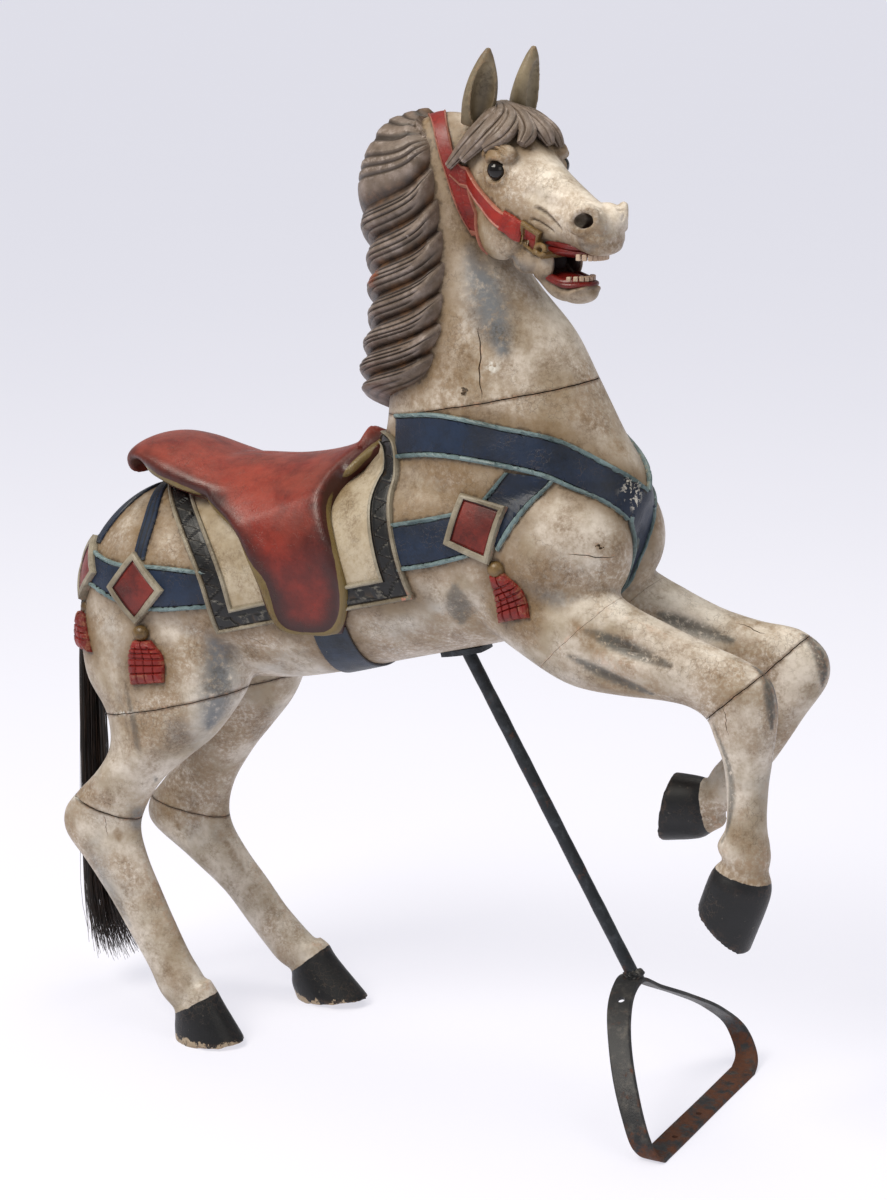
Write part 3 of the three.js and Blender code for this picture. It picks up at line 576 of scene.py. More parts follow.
blocks = {}
for name, probe in PROBES.items():
    point = metres(probe)
    blocks[name] = min(loose, key=lambda obj: around(obj, point))
for obj in loose:
    if obj not in blocks.values():
        bpy.data.objects.remove(obj)
print("blocks:", sorted(blocks))

# %% [markdown]
# Limewood cracks along its grain as it dries. A crack is a thin wavy blade taken out of one block,
# because a dark line in the paint would lose its depth when the light comes from the side.

# %% Drying cracks
SPLITS = [  # the block, the ends of the crack, its width and its depth
    ("neck", (89, -72, 1047), (101, -88, 957), 1.9, 12), ("neck", (76, -84, 970), (79, -86, 957), 9, 7),
    ("trunk", (229, -117, 776), (290, -71, 768), 1.3, 8), ("trunk", (268, -96, 787), (276, -90, 781), 3.4, 5),
    ("trunk", (140, -112, 700), (176, -124, 716), 1.2, 6),
    ("trunk", (-238, -118, 600), (-214, -112, 590), 1.0, 5),
    ("right_foreleg_lower", (458, -122, 606), (462, -120, 570), 1.2, 6),
    ("right_hind_shank", (-470, -128, 322), (-466, -128, 290), 1.0, 6),
    ("left_foreleg_upper", (400, 60, 680), (440, 56, 668), 1.2, 6)]


def split(name, start, end, width, depth):
    """A drying crack: a thin wavy blade taken out of a block."""
    tree = tree_of(blocks[name])
    start, end = np.array(start, float), np.array(end, float)
    place, out, _, _ = tree.find_nearest(Vector(metres((start + end) / 2)))
    ahead = unit(end - start)
    across = unit(np.cross(ahead, np.array(out)))
    blade, _, _ = ball_grid("blade", 24, 24)
    co = coords(blade)
    wander = 1.4 * np.sin(co[:, 2:] * 5) + 0.7 * np.sin(co[:, 2:] * 13)
    half = np.linalg.norm(end - start) / 2
    mm = millimetres(np.array(place)) + co[:, 2:] * half * ahead
    mm = mm + co[:, 1:2] * depth * np.cross(across, ahead)
    set_coords(blade, metres(mm + (co[:, :1] * width / 2 + wander * min(width, 2) / 2) * across))
    cut(blocks[name], face_out(blade))


for crack in SPLITS:
    split(*crack)
print("cracks:", len(SPLITS), "in blocks", {name: len(obj.data.vertices) for name, obj in blocks.items()})

# %% [markdown]
# ## Ears, mane and forelock
# The ears are leaf-shaped shells, hollowed with a gouge. The mane is one mass round the crest, which
# falls in eight heavy S-shaped locks. Its rings follow the hair, so the ridges, the valleys and the cuts
# of the V tool all run along it; locks made one by one lay on the neck like stacked fingers.

# %% Ears
EAR_ROWS = [[20, 0, -18, 0, 0, 14], [23, 30, -21, 30, 0, 17], [20, 60, -18, 60, 0, 14],
            [10, 88, -9, 88, 0, 8], [3, 101, -2, 101, 0, 3]]
EAR_BASE, EAR_TURN, EAR_LEAN = (4, 37, 1297), 70, 16


def ear(side):
    shell = loft("ear", EAR_ROWS, 40, 40)
    cut(shell, ball("hollow", (0, -15, 47), (15.5, 17, 43), 40))
    mm = millimetres(coords(shell))
    turn = Matrix.Rotation(math.radians(EAR_LEAN), 3, "Y") @ Matrix.Rotation(math.radians(EAR_TURN), 3, "Z")
    mm = mm @ np.array(turn).T * [1, -side, 1] + [EAR_BASE[0], EAR_BASE[1] * side, EAR_BASE[2]]
    set_coords(shell, metres(from_head(mm)))
    face_out(shell)
    apply(shell, "REMESH", mode="VOXEL", voxel_size=HEAD_VOXEL * 0.001, adaptivity=0)
    return apply(shell, "SMOOTH", factor=0.5, iterations=3)


ears = twice(ear)
print("ears:", [len(obj.data.vertices) for obj in ears], "vertices")

# %% [markdown]
# A strand is a ball drawn out along its path. Its V-tool cuts are fixed turns of its section that stay near
# the middle, so they follow each bend of the strand.

# %% A strand of hair
def strand(name, path, outwards, half_width, half_depth, swell, cuts=8, rings=30, fine=8):
    """A lock along a path; the grooves are turns of its section that stay near its middle."""
    sides = cuts * fine
    obj, ring, turn = ball_grid(name, sides, rings)
    steps = rings - 1
    along = unit(np.gradient(path, axis=0))
    across = unit(np.cross(along, outwards))
    out = unit(np.cross(across, along))
    size = swell(np.linspace(0, 1, steps))
    i = np.clip(ring - 1, 0, steps - 1)
    phase = np.mod(np.rint(turn / (2 * math.pi) * sides), fine)
    groove = np.where(phase == 0, 0.78, np.where((phase == 1) | (phase == fine - 1), 0.96, 1.03))
    on = (ring > 0) & (ring < rings)
    r = (on * size[i] * groove)[:, None]
    set_coords(obj, metres(path[i] + r * (across[i] * np.cos(turn)[:, None] * half_width
                                          + out[i] * np.sin(turn)[:, None] * half_depth)))
    return face_out(obj)


def reach(tree, origin, direction, far=400):
    """How far the wood reaches from a point inside it, in mm."""
    start = Vector(metres(origin + direction * far))
    hit = tree.ray_cast(start, Vector(-direction), far * 0.001)
    return far if hit[0] is None else far - (hit[0] - start).length * 1000

# %% [markdown]
# The hair grows from a line inside the crest and falls to both sides. One function says, for each lock
# counted down the neck and each turn from right to left, where the hair comes from and which way it
# points. Rays from that line find how thick the neck is on the way, and the distances are evened out, so
# that the mane rests on the neck without copying its small hollows.

# %% How the mane grows
MANE_LINE = [(2, 1320), (2, 1302), (26, 1205), (38, 1130), (40, 1040), (22, 965), (-8, 900), (-8, 850)]
MANE_TOP, LOCKS, LOCK_DROP = 1302, 8, 39.5  # the height of the first lock, their number, and the step between
FALL = 112  # how far a lock falls, in mm
PER_LOCK = 40
AROUND, INSIDE = ((152, 10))
GROOVES = (0.22, 0.41, 0.60, 0.78, 0.12, 0.31, 0.50, 0.69)


def hair(q, s):
    """Where the mane grows from and which way: q counts the locks down, s runs round from right to left."""
    q, s = np.broadcast_arrays(np.asarray(q, float), np.asarray(s, float))
    t, first = 1 - np.abs(2 * s - 1), np.clip(q, 0, 1)
    fall = FALL * first * (2 - first) - 0.8 * (q - first) ** 2
    slope = 0.60 * t + 0.24 * (1 - np.exp(-t / 0.12)) + 0.16 * t ** 4
    z = MANE_TOP - LOCK_DROP * q - 50 * (1 - first) - fall * slope
    x = np.interp(-z, [-row[1] for row in MANE_LINE], [row[0] for row in MANE_LINE]) + 6 * (1 - first) ** 2
    border = 91 + 89 * (1 - first) ** 2
    a, lift = np.radians(border + (180 - border) * t), np.radians(58) * (1 - first)
    side = np.where(s < 0.5, -1.0, 1.0)
    return (np.stack([x, 0 * x, z], -1),
            np.stack([np.cos(a) * np.cos(lift), side * np.sin(a) * np.cos(lift), np.sin(lift)], -1))


DOWN, ROUND = np.linspace(0, LOCKS, 41), np.linspace(0, 1, 41)
NECK_REACH = np.array([[min(reach(head_tree, *hair(q, s)), 96) for s in ROUND] for q in DOWN])
for _ in range(4):
    ringed = np.pad(NECK_REACH, 1, mode="edge")
    NECK_REACH = (ringed[:-2, 1:-1] + ringed[2:, 1:-1] + ringed[1:-1, :-2] + ringed[1:-1, 2:]
                  + 4 * NECK_REACH) / 8


def mane_place(q, s, height):
    """Points that lie some mm above the neck's wood, measured between the places where it is known."""
    i, j = np.clip(q / LOCKS, 0, 0.9999) * 40, np.clip(s, 0, 0.9999) * 40
    k, m = i.astype(int), j.astype(int)
    low = NECK_REACH[k, m] + (NECK_REACH[k, m + 1] - NECK_REACH[k, m]) * (j - m)
    high = NECK_REACH[k + 1, m] + (NECK_REACH[k + 1, m + 1] - NECK_REACH[k + 1, m]) * (j - m)
    origin, direction = hair(q, s)
    return origin + direction * (low + (high - low) * (i - k) + height)[:, None]


print("neck under the mane:", NECK_REACH.min().round(), "to", NECK_REACH.max().round(), "mm thick")

# %% [markdown]
# A ball is laid over that map, with its rings as the rows of hair. Between two locks the surface drops to
# a valley, on each lock it swells, and the V tool's cuts are narrow dips along single rings. The side
# that faces the neck lies just under the wood, which closes the form.

# %% The mane's mass
def mane_mass():
    """One mass round the crest. Its rings follow the hair, so ridges, valleys and cuts run along them."""
    around, rings = AROUND + INSIDE, LOCKS * PER_LOCK + 2
    obj, ring, turn = ball_grid("locks", around, rings)
    col = np.mod(np.rint(turn / (2 * math.pi) * around).astype(int), around)
    q, s = np.clip((ring - 1) / PER_LOCK, 0, LOCKS), np.clip(col / (AROUND - 1), 0, 1)
    t = 1 - np.abs(2 * s - 1)
    number = np.minimum(np.floor(q), LOCKS - 1)
    p = q - number
    ridge = np.sin(math.pi * np.clip(p, 0, 1) ** 1.25) ** 0.8
    cuts = np.zeros(len(q))
    for k, place in enumerate(GROOVES):
        at = np.rint((place + 0.03 * np.sin(2.3 * number + 1.7 * k)) * PER_LOCK)
        from_t = (0.02 + 0.26 * np.mod(number * 3 + k * 5, 4) / 4) * (number > 0)
        to_t = 1.25 - 0.5 * np.mod(number * 2 + k * 3, 3) / 3
        width = np.clip(1 - np.abs(np.rint(p * PER_LOCK) - at) / np.where(number < 1, 1.1, 2.4), 0, 1)
        width = width * ((k < 4) | (number < 1))
        cuts = np.maximum(cuts, width * np.clip((t - from_t) / 0.1, 0, 1) * np.clip((to_t - t) / 0.1, 0, 1))
    rise = np.clip((FALL * t - 6 * (1 - ridge)) / 13, 0, 1)
    rise = np.maximum(rise * (2 - rise), np.clip((0.6 - q) / 0.4, 0, 1) * (col < AROUND))
    ends = np.sqrt(np.clip(q / 0.3, 0, 1) * np.clip((LOCKS - q) / 0.6, 0, 1))
    bulge = 13 * np.exp(-((q - 0.8) / 0.6) ** 2) * t
    height = -8 + rise * ends * (13 + 26 * t + bulge + 15 * ridge) - 2.8 * cuts * ends
    spot = mane_place(q, s, height)
    w = np.clip((col - AROUND + 1) / (INSIDE + 1), 0, 1)[:, None]
    under = mane_place(q, np.ones(len(q)), -9) * (1 - w) + mane_place(q, np.zeros(len(q)), -9) * w
    spot = np.where((col >= AROUND)[:, None], under, spot)
    for pole, near in ((0, 1), (rings, rings - 1)):
        spot[ring == pole] = spot[ring == near].mean(axis=0)
    set_coords(obj, metres(spot))
    for name, value in (("valley", 1 - ridge), ("groove", cuts)):
        kept = obj.data.attributes.new(name, "FLOAT", "POINT")
        kept.data.foreach_set("value", value.astype(np.float32))
    return face_out(obj)

# %% [markdown]
# The strands of the forelock are short and cross each other, so here separate strands look right: seven
# of them fan out from the poll over the forehead.

# %% Forelock
FORELOCK = [  # in the head's plane, and half width
    ([(8, -6, 1320), (30, -30, 1308), (18, -54, 1280), (-12, -66, 1246)], 13),
    ([(12, -4, 1321), (44, -28, 1308), (40, -52, 1284), (14, -64, 1256)], 12),
    ([(14, -2, 1322), (56, -18, 1306), (66, -42, 1288), (48, -56, 1272)], 12),
    ([(16, 0, 1322), (56, -4, 1308), (82, -14, 1290), (86, -26, 1278)], 12),
    ([(16, 2, 1322), (54, 10, 1307), (84, 14, 1289), (92, 16, 1276)], 12),
    ([(14, 5, 1321), (48, 24, 1305), (72, 36, 1288), (82, 42, 1268)], 12),
    ([(10, 8, 1320), (34, 38, 1304), (50, 52, 1284), (52, 58, 1262)], 12)]


def fringe(points, half_width):
    t = np.linspace(0, 1, 25)
    path = spline(from_head(points), t)
    core = from_head([(20, 0, 1240)])[0]
    swell = lambda s: 0.35 + 0.75 * np.sin(math.pi * (0.12 + 0.80 * s))
    return strand("fringe", path, unit(path - core), half_width, 9, swell, cuts=6, rings=26)


fringes = [fringe(points, half) for points, half in FORELOCK]
mane = joined("mane", [mane_mass(), *fringes])
print("mane:", LOCKS * 2, "locks,", len(FORELOCK), "strands of forelock,", len(mane.data.polygons), "faces")

# %% [markdown]
# The mouth is open, so gums, teeth and the dark palate are carved inside it, and a near-black ball in the
# throat is painted shade. Each tooth is its own small block, with rounded edges, set along the bow of the
# jaw.

# %% Mouth and eyes
UPPER_BOW = [(130, 25, 1155), (160, 26, 1153), (188, 24, 1152), (206, 14, 1152), (211, 0, 1152)]
LOWER_BOW = [(122, 19, 1124), (148, 22, 1118), (168, 21, 1115), (183, 12, 1116), (188, 0, 1116)]


def bow(half):
    return half + [(u, -v, z) for u, v, z in half[-2::-1]]


def teeth(points, count, tall):
    made = []
    t = np.linspace(0.29, 0.71, count)
    path, ahead = spline(bow(points), t), spline(bow(points), t + 0.01) - spline(bow(points), t - 0.01)
    for (u, v, z), (du, dv, _) in zip(path, ahead):
        bpy.ops.mesh.primitive_cube_add(size=1)
        tooth = bpy.context.object
        apply(tooth, "BEVEL", width=0.18, segments=3)
        angle = math.atan2(dv, du)
        co = coords(tooth) * [5.9, 6, abs(tall)]
        x = co[:, 0] * math.cos(angle) - co[:, 1] * math.sin(angle)
        y = co[:, 0] * math.sin(angle) + co[:, 1] * math.cos(angle)
        set_coords(tooth, metres(from_head(np.c_[x + u, y + v, co[:, 2] + z + tall * 0.5])))
        made.append(tooth)
    return made


all_teeth = joined("teeth", teeth(UPPER_BOW, 10, -8) + teeth(LOWER_BOW, 8, 6.5))
fine = np.linspace(0, 1, 60)
upper_gum = tube("upper_gum", from_head(spline(bow(UPPER_BOW), fine) * [1, 0.84, 1] + [-6, 0, 7]), 3.8)
lower_gum = tube("lower_gum", from_head(spline(bow(LOWER_BOW), fine) + [-3, 0, -1]), 5)
lip_line = tube("lip_line", from_head(spline(bow(LOWER_BOW), fine) * [1.02, 1.12, 1] + [0, 0, -4]), 3.6)
palate = on_head(ball("palate", (152, 0, 1152), (56, 25, 9)))
tongue = on_head(ball("tongue", (136, 0, 1114), (50, 20, 9)))
# Painted shade: a near-black ball fills the throat where light does not reach.
throat = on_head(ball("throat", (112, 0, 1136), (26, 18, 20)))
gums = joined("gums", [upper_gum, lower_gum, lip_line, palate, tongue])
eyes = [on_head(ball("eye", (EYE[0], EYE[1] * side, EYE[2]), [EYE_RADIUS] * 3, 48)) for side in (-1, 1)]
print("mouth:", len(all_teeth.data.vertices), "vertices of teeth")

# %% [markdown]
# ## Harness in relief
# Straps, cloth, diamonds and tassels stand a few millimetres proud of the horse. Each is a closed panel
# between two edges: its grid is laid on the nearest wood, then lifted by a profile that depends on how
# far a point lies from the panel's edge. So beads and pipings stay the same width, with true mitres.

# %% A panel on the wood
def panel(name, edges, profile, bands, faces="ab", step=5.0, inner=8, tree=None, under=0, relief=None,
          plain=0):
    """profile: (mm from the edge, mm of height); bands: (up to this many mm, material); faces: which of the
    edges a and b and the ends s and e have the profile; under: how many columns follow the wood underneath;
    plain: how many mm at the start have no profile."""
    tree = tree or body_tree
    depth = [d for d, _ in profile]
    t = np.linspace(0, 1, 40)
    a, b = spline(edges[0], t), spline(edges[1], t)
    length = np.linalg.norm(np.diff((a + b) / 2, axis=0), axis=1).sum()
    first = [d / length for d in depth] if "s" in faces else [0]
    last = [1 - d / length for d in depth[::-1]] if "e" in faces else [1]
    middle = np.linspace(first[-1], last[0], max(int(length / step), 3) + 1)[1:-1]
    u = np.array([*first, *middle, *last])
    u = np.r_[u[0], u, u[-1]]
    low = depth if "a" in faces else [0]
    high = depth[::-1] if "b" in faces else [0]
    top = len(low) + inner + len(high) + 2
    n = top + under
    obj, ring, turn = ball_grid(name, n, len(u) + 1)
    row = np.clip(ring - 1, 0, len(u) - 1)
    col = np.mod(np.rint(turn / (2 * math.pi) * n).astype(int), n)
    a, b = spline(edges[0], u[row]), spline(edges[1], u[row])
    width = np.linalg.norm(b - a, axis=1)
    k = np.clip(col - 1, 0, top - 3)
    lows, highs = np.array(low), np.array(high)
    far_side = width - highs[np.clip(k - len(low) - inner, 0, len(high) - 1)]
    field = lows[-1] + (width - lows[-1] - highs[0]) * (k - len(low) + 1) / (inner + 1)
    x = np.where(k >= len(low) + inner, far_side, field)
    x = np.where(k < len(low), lows[np.minimum(k, len(low) - 1)], x)
    x = np.where(col >= top, width * (1 - (col - top + 1) / (under + 1)), np.clip(x, 0, width))
    spot = a + (b - a) * (x / np.maximum(width, 1e-6))[:, None]
    s = u[row] * length
    d = np.full(len(x), 1e3)
    for flag, gap in (("a", x), ("b", width - x), ("s", s), ("e", length - s)):
        if flag in faces:
            d = np.minimum(d, gap)
    d = np.where(s < plain, 1e3, d)
    height = np.interp(d, depth, [h for _, h in profile])
    if relief is not None:
        height = height + relief(s, x, d, length, width)
    skirt = (ring <= 1) | (ring >= len(u)) | (col == 0) | (col >= top - 1)
    pole = (ring == 0) | (ring == len(u) + 1)
    height = np.where(pole, -40.0 if under else -10.0, np.where(skirt, -4.0, height))
    spot = np.where(pole[:, None], (a + b) / 2, spot)
    found = [tree.find_nearest(Vector(p)) for p in metres(spot)]
    ground, out = np.array([f[0] for f in found]), np.array([f[1] for f in found])
    set_coords(obj, ground + out * height[:, None] * 0.001)
    lay = obj.data.attributes.new("lay", "FLOAT_VECTOR", "POINT")
    lay.data.foreach_set("vector", (np.c_[s, d, x] * 0.001).astype(np.float32).ravel())
    wide = np.array([[d[i] for i in (list(p.vertices) + [p.vertices[0]])[:4]] for p in obj.data.polygons])
    for poly, gap in zip(obj.data.polygons, np.where(wide.mean(axis=1) < 900, wide.mean(axis=1), 1e3)):
        poly.material_index = next(i for i, (limit, _) in enumerate(bands) if gap <= limit)
    for _, material in bands:
        obj.data.materials.append(bpy.data.materials.get(material) or bpy.data.materials.new(material))
    return face_out(obj)

# %% [markdown]
# Each strap is given by the two edges of its band, as a few places along the horse's right side, and made
# again on its left. The raised piping along both edges is painted turquoise, and the flat between is
# navy. Where straps meet at the chest, one double strap runs down between the forelegs.

# %% Straps
def mirrored(edges):
    return [[(x, -y, z) for x, y, z in edge] for edge in edges]


def pair(name, edges, *args, **how):
    return [panel(name, edges, *args, **how), panel(name, mirrored(edges), *args, **how)]


PIPED = [(0, 3.0), (0.8, 5.4), (3.0, 6.4), (5.4, 5.4), (6.3, 2.2), (7.4, 3.4)]
PIPED_BANDS = [(6.0, "turquoise_paint"), (1e4, "navy_paint")]
PLAIN = [(0, 2.2), (1.0, 3.4)]
STRAPS = [
    # breast strap
    ([(-32, -60, 922), (43, -91, 934), (130, -92, 926), (205, -71, 911), (262, -38, 874), (292, -1, 842)],
     [(-36, -85, 866), (48, -100, 878), (135, -101, 874), (199, -90, 862), (244, -66, 834), (266, -40, 804)]),
    # from the cloth to the shoulder diamond
    ([(-16, -116, 787), (28, -117, 798), (100, -115, 818)],
     [(2, -126, 728), (47, -126, 739), (104, -126, 758)]),
    # rump strap
    ([(-296, -122, 692), (-373, -123, 691), (-443, -117, 686), (-505, -90, 692), (-552, 2, 700)],
     [(-290, -125, 642), (-387, -129, 628), (-439, -125, 632), (-508, -100, 645), (-560, 2, 654)])]
harness = [made for edges in STRAPS for made in pair("strap", edges, PIPED, PIPED_BANDS)]
SLANTED = ([(143, -104, 869), (102, -112, 816)], [(208, -88, 864), (146, -118, 770)])
harness += pair("slanted_strap", SLANTED, [(d, h - 1) for d, h in PIPED], PIPED_BANDS)
NARROW = [
    ([(-424, -16, 780), (-398, -88, 746), (-397, -118, 695)],
     [(-438, -16, 778), (-418, -88, 740), (-416, -118, 690)]),
    ([(-440, -10, 778), (-474, -62, 742), (-492, -78, 696)],
     [(-452, -6, 776), (-490, -52, 732), (-508, -70, 694)])]
NAVY = [(1e4, "navy_paint")]
harness += [made for edges in NARROW for made in pair("narrow_strap", edges, PLAIN, NAVY, inner=3)]
GIRTH = ([(-140, -108, 632), (-136, -61, 567), (-134, 2, 540)],
         [(-88, -108, 640), (-82, -61, 575), (-78, 2, 555)])
harness += pair("girth", GIRTH, PLAIN, [(1e4, "slate_paint")])
CENTRE = [(293, -2, 842), (272, -36, 806), (270, -31, 764), (252, -5, 704)]
harness.append(panel("centre_strap", (CENTRE, mirrored([CENTRE])[0]), PIPED, PIPED_BANDS, inner=9, step=4,
                     plain=40))
print("straps:", len(harness), "panels")

# %% [markdown]
# The cloth under the saddle has a grey piping, a black band cut in zigzags and a second piping round a
# plain cream field. Diamonds hang where straps cross, with a knob and a tassel under each.

# %% Cloth, diamonds and tassels
CLOTH_REAR = [(-436, -2, 778), (-353, -101, 739), (-307, -125, 679), (-285, -118, 606)]
CLOTH_FRONT = [(-80, -2, 884), (-34, -72, 886), (-20, -101, 815), (0, -125, 756), (22, -120, 694)]
CLOTH = [(0, 3.0), (0.9, 6.5), (3.0, 7.6), (5.4, 6.5), (6.4, 4.2), (10, 4.6), (14, 4.8), (18, 4.8), (22, 4.8),
         (26, 4.8), (30, 4.4), (31.6, 3.8), (32.6, 6.4), (35, 7.4), (37.4, 6.4), (38.4, 2.6), (41, 3.0)]
CLOTH_BANDS = [(6.2, "grey_piping"), (32.2, "black_band"), (38.2, "grey_piping"), (1e4, "cloth_cream")]
ZIGZAG = 27.0


def zigzag(s, x, d, length, width):
    """Raised triangles in the black band; along is measured down the sides and across the foot."""
    along = np.where(length - s < np.minimum(x, width - x), x, s)
    wave = np.abs(np.mod(along / ZIGZAG, 1.0) * 2 - 1) * 22 + 8
    return np.where((d > 6.8) & (d < 31.5), np.where(d < wave, 1.5, -0.6), 0)


cloths = [made for made in pair("cloth", (CLOTH_REAR, CLOTH_FRONT), CLOTH, CLOTH_BANDS, faces="abe", step=2.6,
                                inner=26, under=26, relief=zigzag)]
DIAMOND = [(0, 6.5), (1.0, 10.4), (4.0, 11.2), (7.4, 10.4), (8.6, 9.2), (9.6, 6.6), (11, 7.2)]
DIAMOND_BANDS = [(8.0, "grey_piping"), (1e4, "terracotta_paint")]
DIAMONDS = [
    ([(70, -125, 772), (85, -107, 837)], [(133, -122, 753), (153, -110, 825)]),
    ([(-455, -120, 652), (-413, -115, 703)], [(-408, -125, 605), (-360, -129, 660)]),
    ([(-540, -52, 660), (-512, -72, 708)], [(-522, -90, 616), (-486, -108, 664)])]
TASSELS = [
    ([(131, -119, 738), (139, -119, 700), (145, -113, 675)],
     [(152, -119, 744), (176, -121, 722), (190, -123, 688)]),
    ([(-413, -129, 582), (-420, -134, 560), (-414, -136, 520)],
     [(-386, -128, 585), (-366, -132, 565), (-362, -135, 530)]),
    ([(-528, -80, 598), (-534, -66, 548)], [(-512, -92, 598), (-494, -112, 550)])]
TASSEL = [(0, 3), (1.5, 7), (5, 9.5), (10, 11)]
TASSEL_BANDS = [(1e4, "tassel_paint")]


def threads(s, x, d, length, width):
    """Rows of thread knots: cuts across the tassel every 8 mm and two or three down it."""
    down = np.abs(np.mod(s / 8.2 + 0.5, 1.0) - 0.5) * 8.2
    share = x / np.maximum(width, 1)
    across = np.min([np.abs(share - place) for place in (0.28, 0.52, 0.76)], axis=0) * width
    return np.where(down < 1.0, -2.4, 0) + np.where(across < 1.0, -2.0, 0)


diamonds = [made for edges in DIAMONDS
            for made in pair("diamond", edges, DIAMOND, DIAMOND_BANDS, faces="abse")]
tassels = [made for edges in TASSELS
           for made in pair("tassel", edges, TASSEL, TASSEL_BANDS, faces="abse", step=2.05, inner=22,
                            relief=threads)]
KNOBS = [(141, -122, 746), (-402, -131, 594), (-520, -86, 606)]
knobs = [ball("knob", (x, y * side, z), (12, 10, 11)) for x, y, z in KNOBS for side in (1, -1)]
print("harness:", len(harness), "straps,", len(diamonds), "diamonds,", len(tassels), "tassels")

# %% [markdown]
# ## The saddle
# Seat and flaps are one carved form: the seat rises to a rolled cantle that curls over the rump, and runs
# down into round flaps. They are fused like the body, and a rolled rim follows the edge all round.

# %% Saddle
SEAT = [
    [-458, 799, -448, 796, 0, 52], [-471, 806, -447, 800, 0, 60], [-475, 826, -444, 810, 0, 66],
    [-460, 842, -436, 814, 0, 72], [-432, 850, -420, 800, 0, 80], [-392, 848, -392, 780, 0, 90],
    [-345, 836, -345, 770, 0, 96], [-290, 825, -290, 765, 0, 98], [-220, 825, -220, 765, 0, 94],
    [-150, 842, -150, 790, 0, 82], [-105, 864, -105, 820, 0, 66], [-76, 884, -76, 850, 0, 36]]
FLAP_REAR = [(-404, -2, 790), (-310, -79, 767), (-247, -104, 737), (-216, -119, 695), (-205, -121, 656),
             (-186, -116, 620)]
FLAP_FRONT = [(-76, -2, 884), (-112, -58, 830), (-120, -88, 795), (-96, -118, 745), (-74, -121, 690),
              (-92, -110, 626)]
RIM = [(-450, -66, 808), (-414, -86, 806), (-356, -98, 792), (-296, -104, 776), (-243, -116, 750),
       (-208, -128, 706), (-196, -131, 668), (-189, -129, 640), (-176, -123, 624), (-152, -119, 617),
       (-118, -118, 619), (-96, -121, 632), (-82, -127, 662), (-80, -131, 696), (-92, -127, 740),
       (-104, -110, 784), (-108, -90, 815), (-98, -58, 850), (-70, -14, 890)]


def fuller(s, x, d, length, width):
    """The flap grows out of the seat, so it is thicker near the top."""
    return 24 * np.clip((230 - s) / 120, 0, 1) ** 1.3


flaps = pair("flap", (FLAP_REAR, FLAP_FRONT), [(0, 6), (4, 9), (9, 10)], [(1e4, "saddle_paint")], faces="abe",
             step=5, inner=30, under=30, relief=fuller)
saddle = fused("saddle", [loft("seat", SEAT, 64, 80), *flaps], VOXEL * 0.7, 22)
for side in (1, -1):
    carve(saddle, [(x, y * side, z) for x, y, z in RIM], 4.5, -3.0, taper=0.02)
carve(saddle, [(-474, -60, 812), (-478, -30, 816), (-478, 0, 816), (-478, 30, 816), (-474, 60, 812)], 6, -1.5)
print("saddle:", len(saddle.data.vertices), "vertices")

# %% [markdown]
# ## Bridle
# Red straps with a pale line along the edge, a rounded keeper, and a gilt buckle and ring at the corner
# of the mouth. The cheek strap lies over the strap behind it.

# %% Bridle
BRIDLE = [
    ([(-18, -14, 1311), (2, -38, 1298), (30, -56, 1241), (53, -56, 1184), (84, -50, 1140)],
     [(10, -14, 1318), (29, -44, 1294), (53, -58, 1236), (75, -60, 1184), (94, -54, 1140)]),
    ([(50, -58, 1252), (104, -78, 1211), (156, -84, 1181)],
     [(38, -58, 1234), (96, -74, 1192), (148, -80, 1162)]),
    ([(88, -44, 1290), (66, -56, 1270), (50, -58, 1252)],
     [(76, -44, 1280), (54, -56, 1258), (40, -58, 1240)])]
BRIDLE_EDGE = [(0, 2.2), (0.6, 3.4), (1.8, 3.9), (2.8, 3.2), (3.4, 2.6)]


def across_head(edge):
    """The same edge on the head's other side."""
    return from_head(to_head(edge) * [1, -1, 1])


def bridle_pair(name, edges, *args, **how):
    made = panel(name, edges, *args, tree=head_tree, **how)
    twin = [across_head(edge) for edge in edges]
    return [made, panel(name, twin, *args, tree=head_tree, **how)]


bridle = []
for rise, edges in zip((0, 1.2, 0.6), BRIDLE):
    bands = [(3.0, "pale_line"), (1e4, "bridle_red")]
    bridle += bridle_pair("bridle", edges, [(d, h + rise) for d, h in BRIDLE_EDGE], bands, step=3, inner=6)
KEEPER = ([(132, -84, 1198), (160, -88, 1183)], [(124, -80, 1174), (152, -84, 1159)])
bridle += bridle_pair("keeper", KEEPER, [(0, 3.6), (1.2, 5.4), (5, 6.2)], [(1e4, "bridle_red")], faces="abse",
                      step=2, inner=6)
BUCKLE = ([(158, -84, 1188), (184, -92, 1172)], [(150, -82, 1158), (174, -88, 1146)])
buckles = bridle_pair("buckle", BUCKLE, [(0, 3), (1.0, 6.6), (3, 7.4), (5, 6.6), (6, 3), (8, 2.4)],
                      [(5.8, "gilt"), (1e4, "bridle_red")], faces="abse", step=2, inner=5)


def ring_at(side):
    """The bit ring, a flat gilt ring that hangs at the corner of the mouth."""
    t = np.linspace(0, 2 * math.pi, 41)
    path = np.c_[140 + 9 * np.cos(t), np.full(41, 38 * side), 1153 + 6 * np.sin(t)]
    return tube("ring", from_head(path), 3.2)


rings = twice(ring_at)
bit = tube("bit", from_head([(142, v, 1146) for v in (-38, -20, 0, 20, 38)]), 4.5)
gilt = joined("gilt_parts", rings + [bit])
print("bridle:", len(bridle), "straps and keepers")

# %% [markdown]
# ## The tail
# Real horsehair is tied into the dock. Each hair is a thin three-sided strand that falls from the dock,
# fans out and breaks off at its own length, round a darker core; the ends curl forward near the floor.

# %% Tail
HAIRS = 760
TAIL_LINE = np.array([(-546, 0, 656), (-565, 0, 636), (-576, 0, 570), (-579, 0, 470), (-580, 0, 350),
                      (-578, 0, 230), (-571, 0, 130), (-556, 0, 52)], float)
TAIL_SPREAD = np.array([9, 13, 18, 21, 23, 27, 33, 42], float)


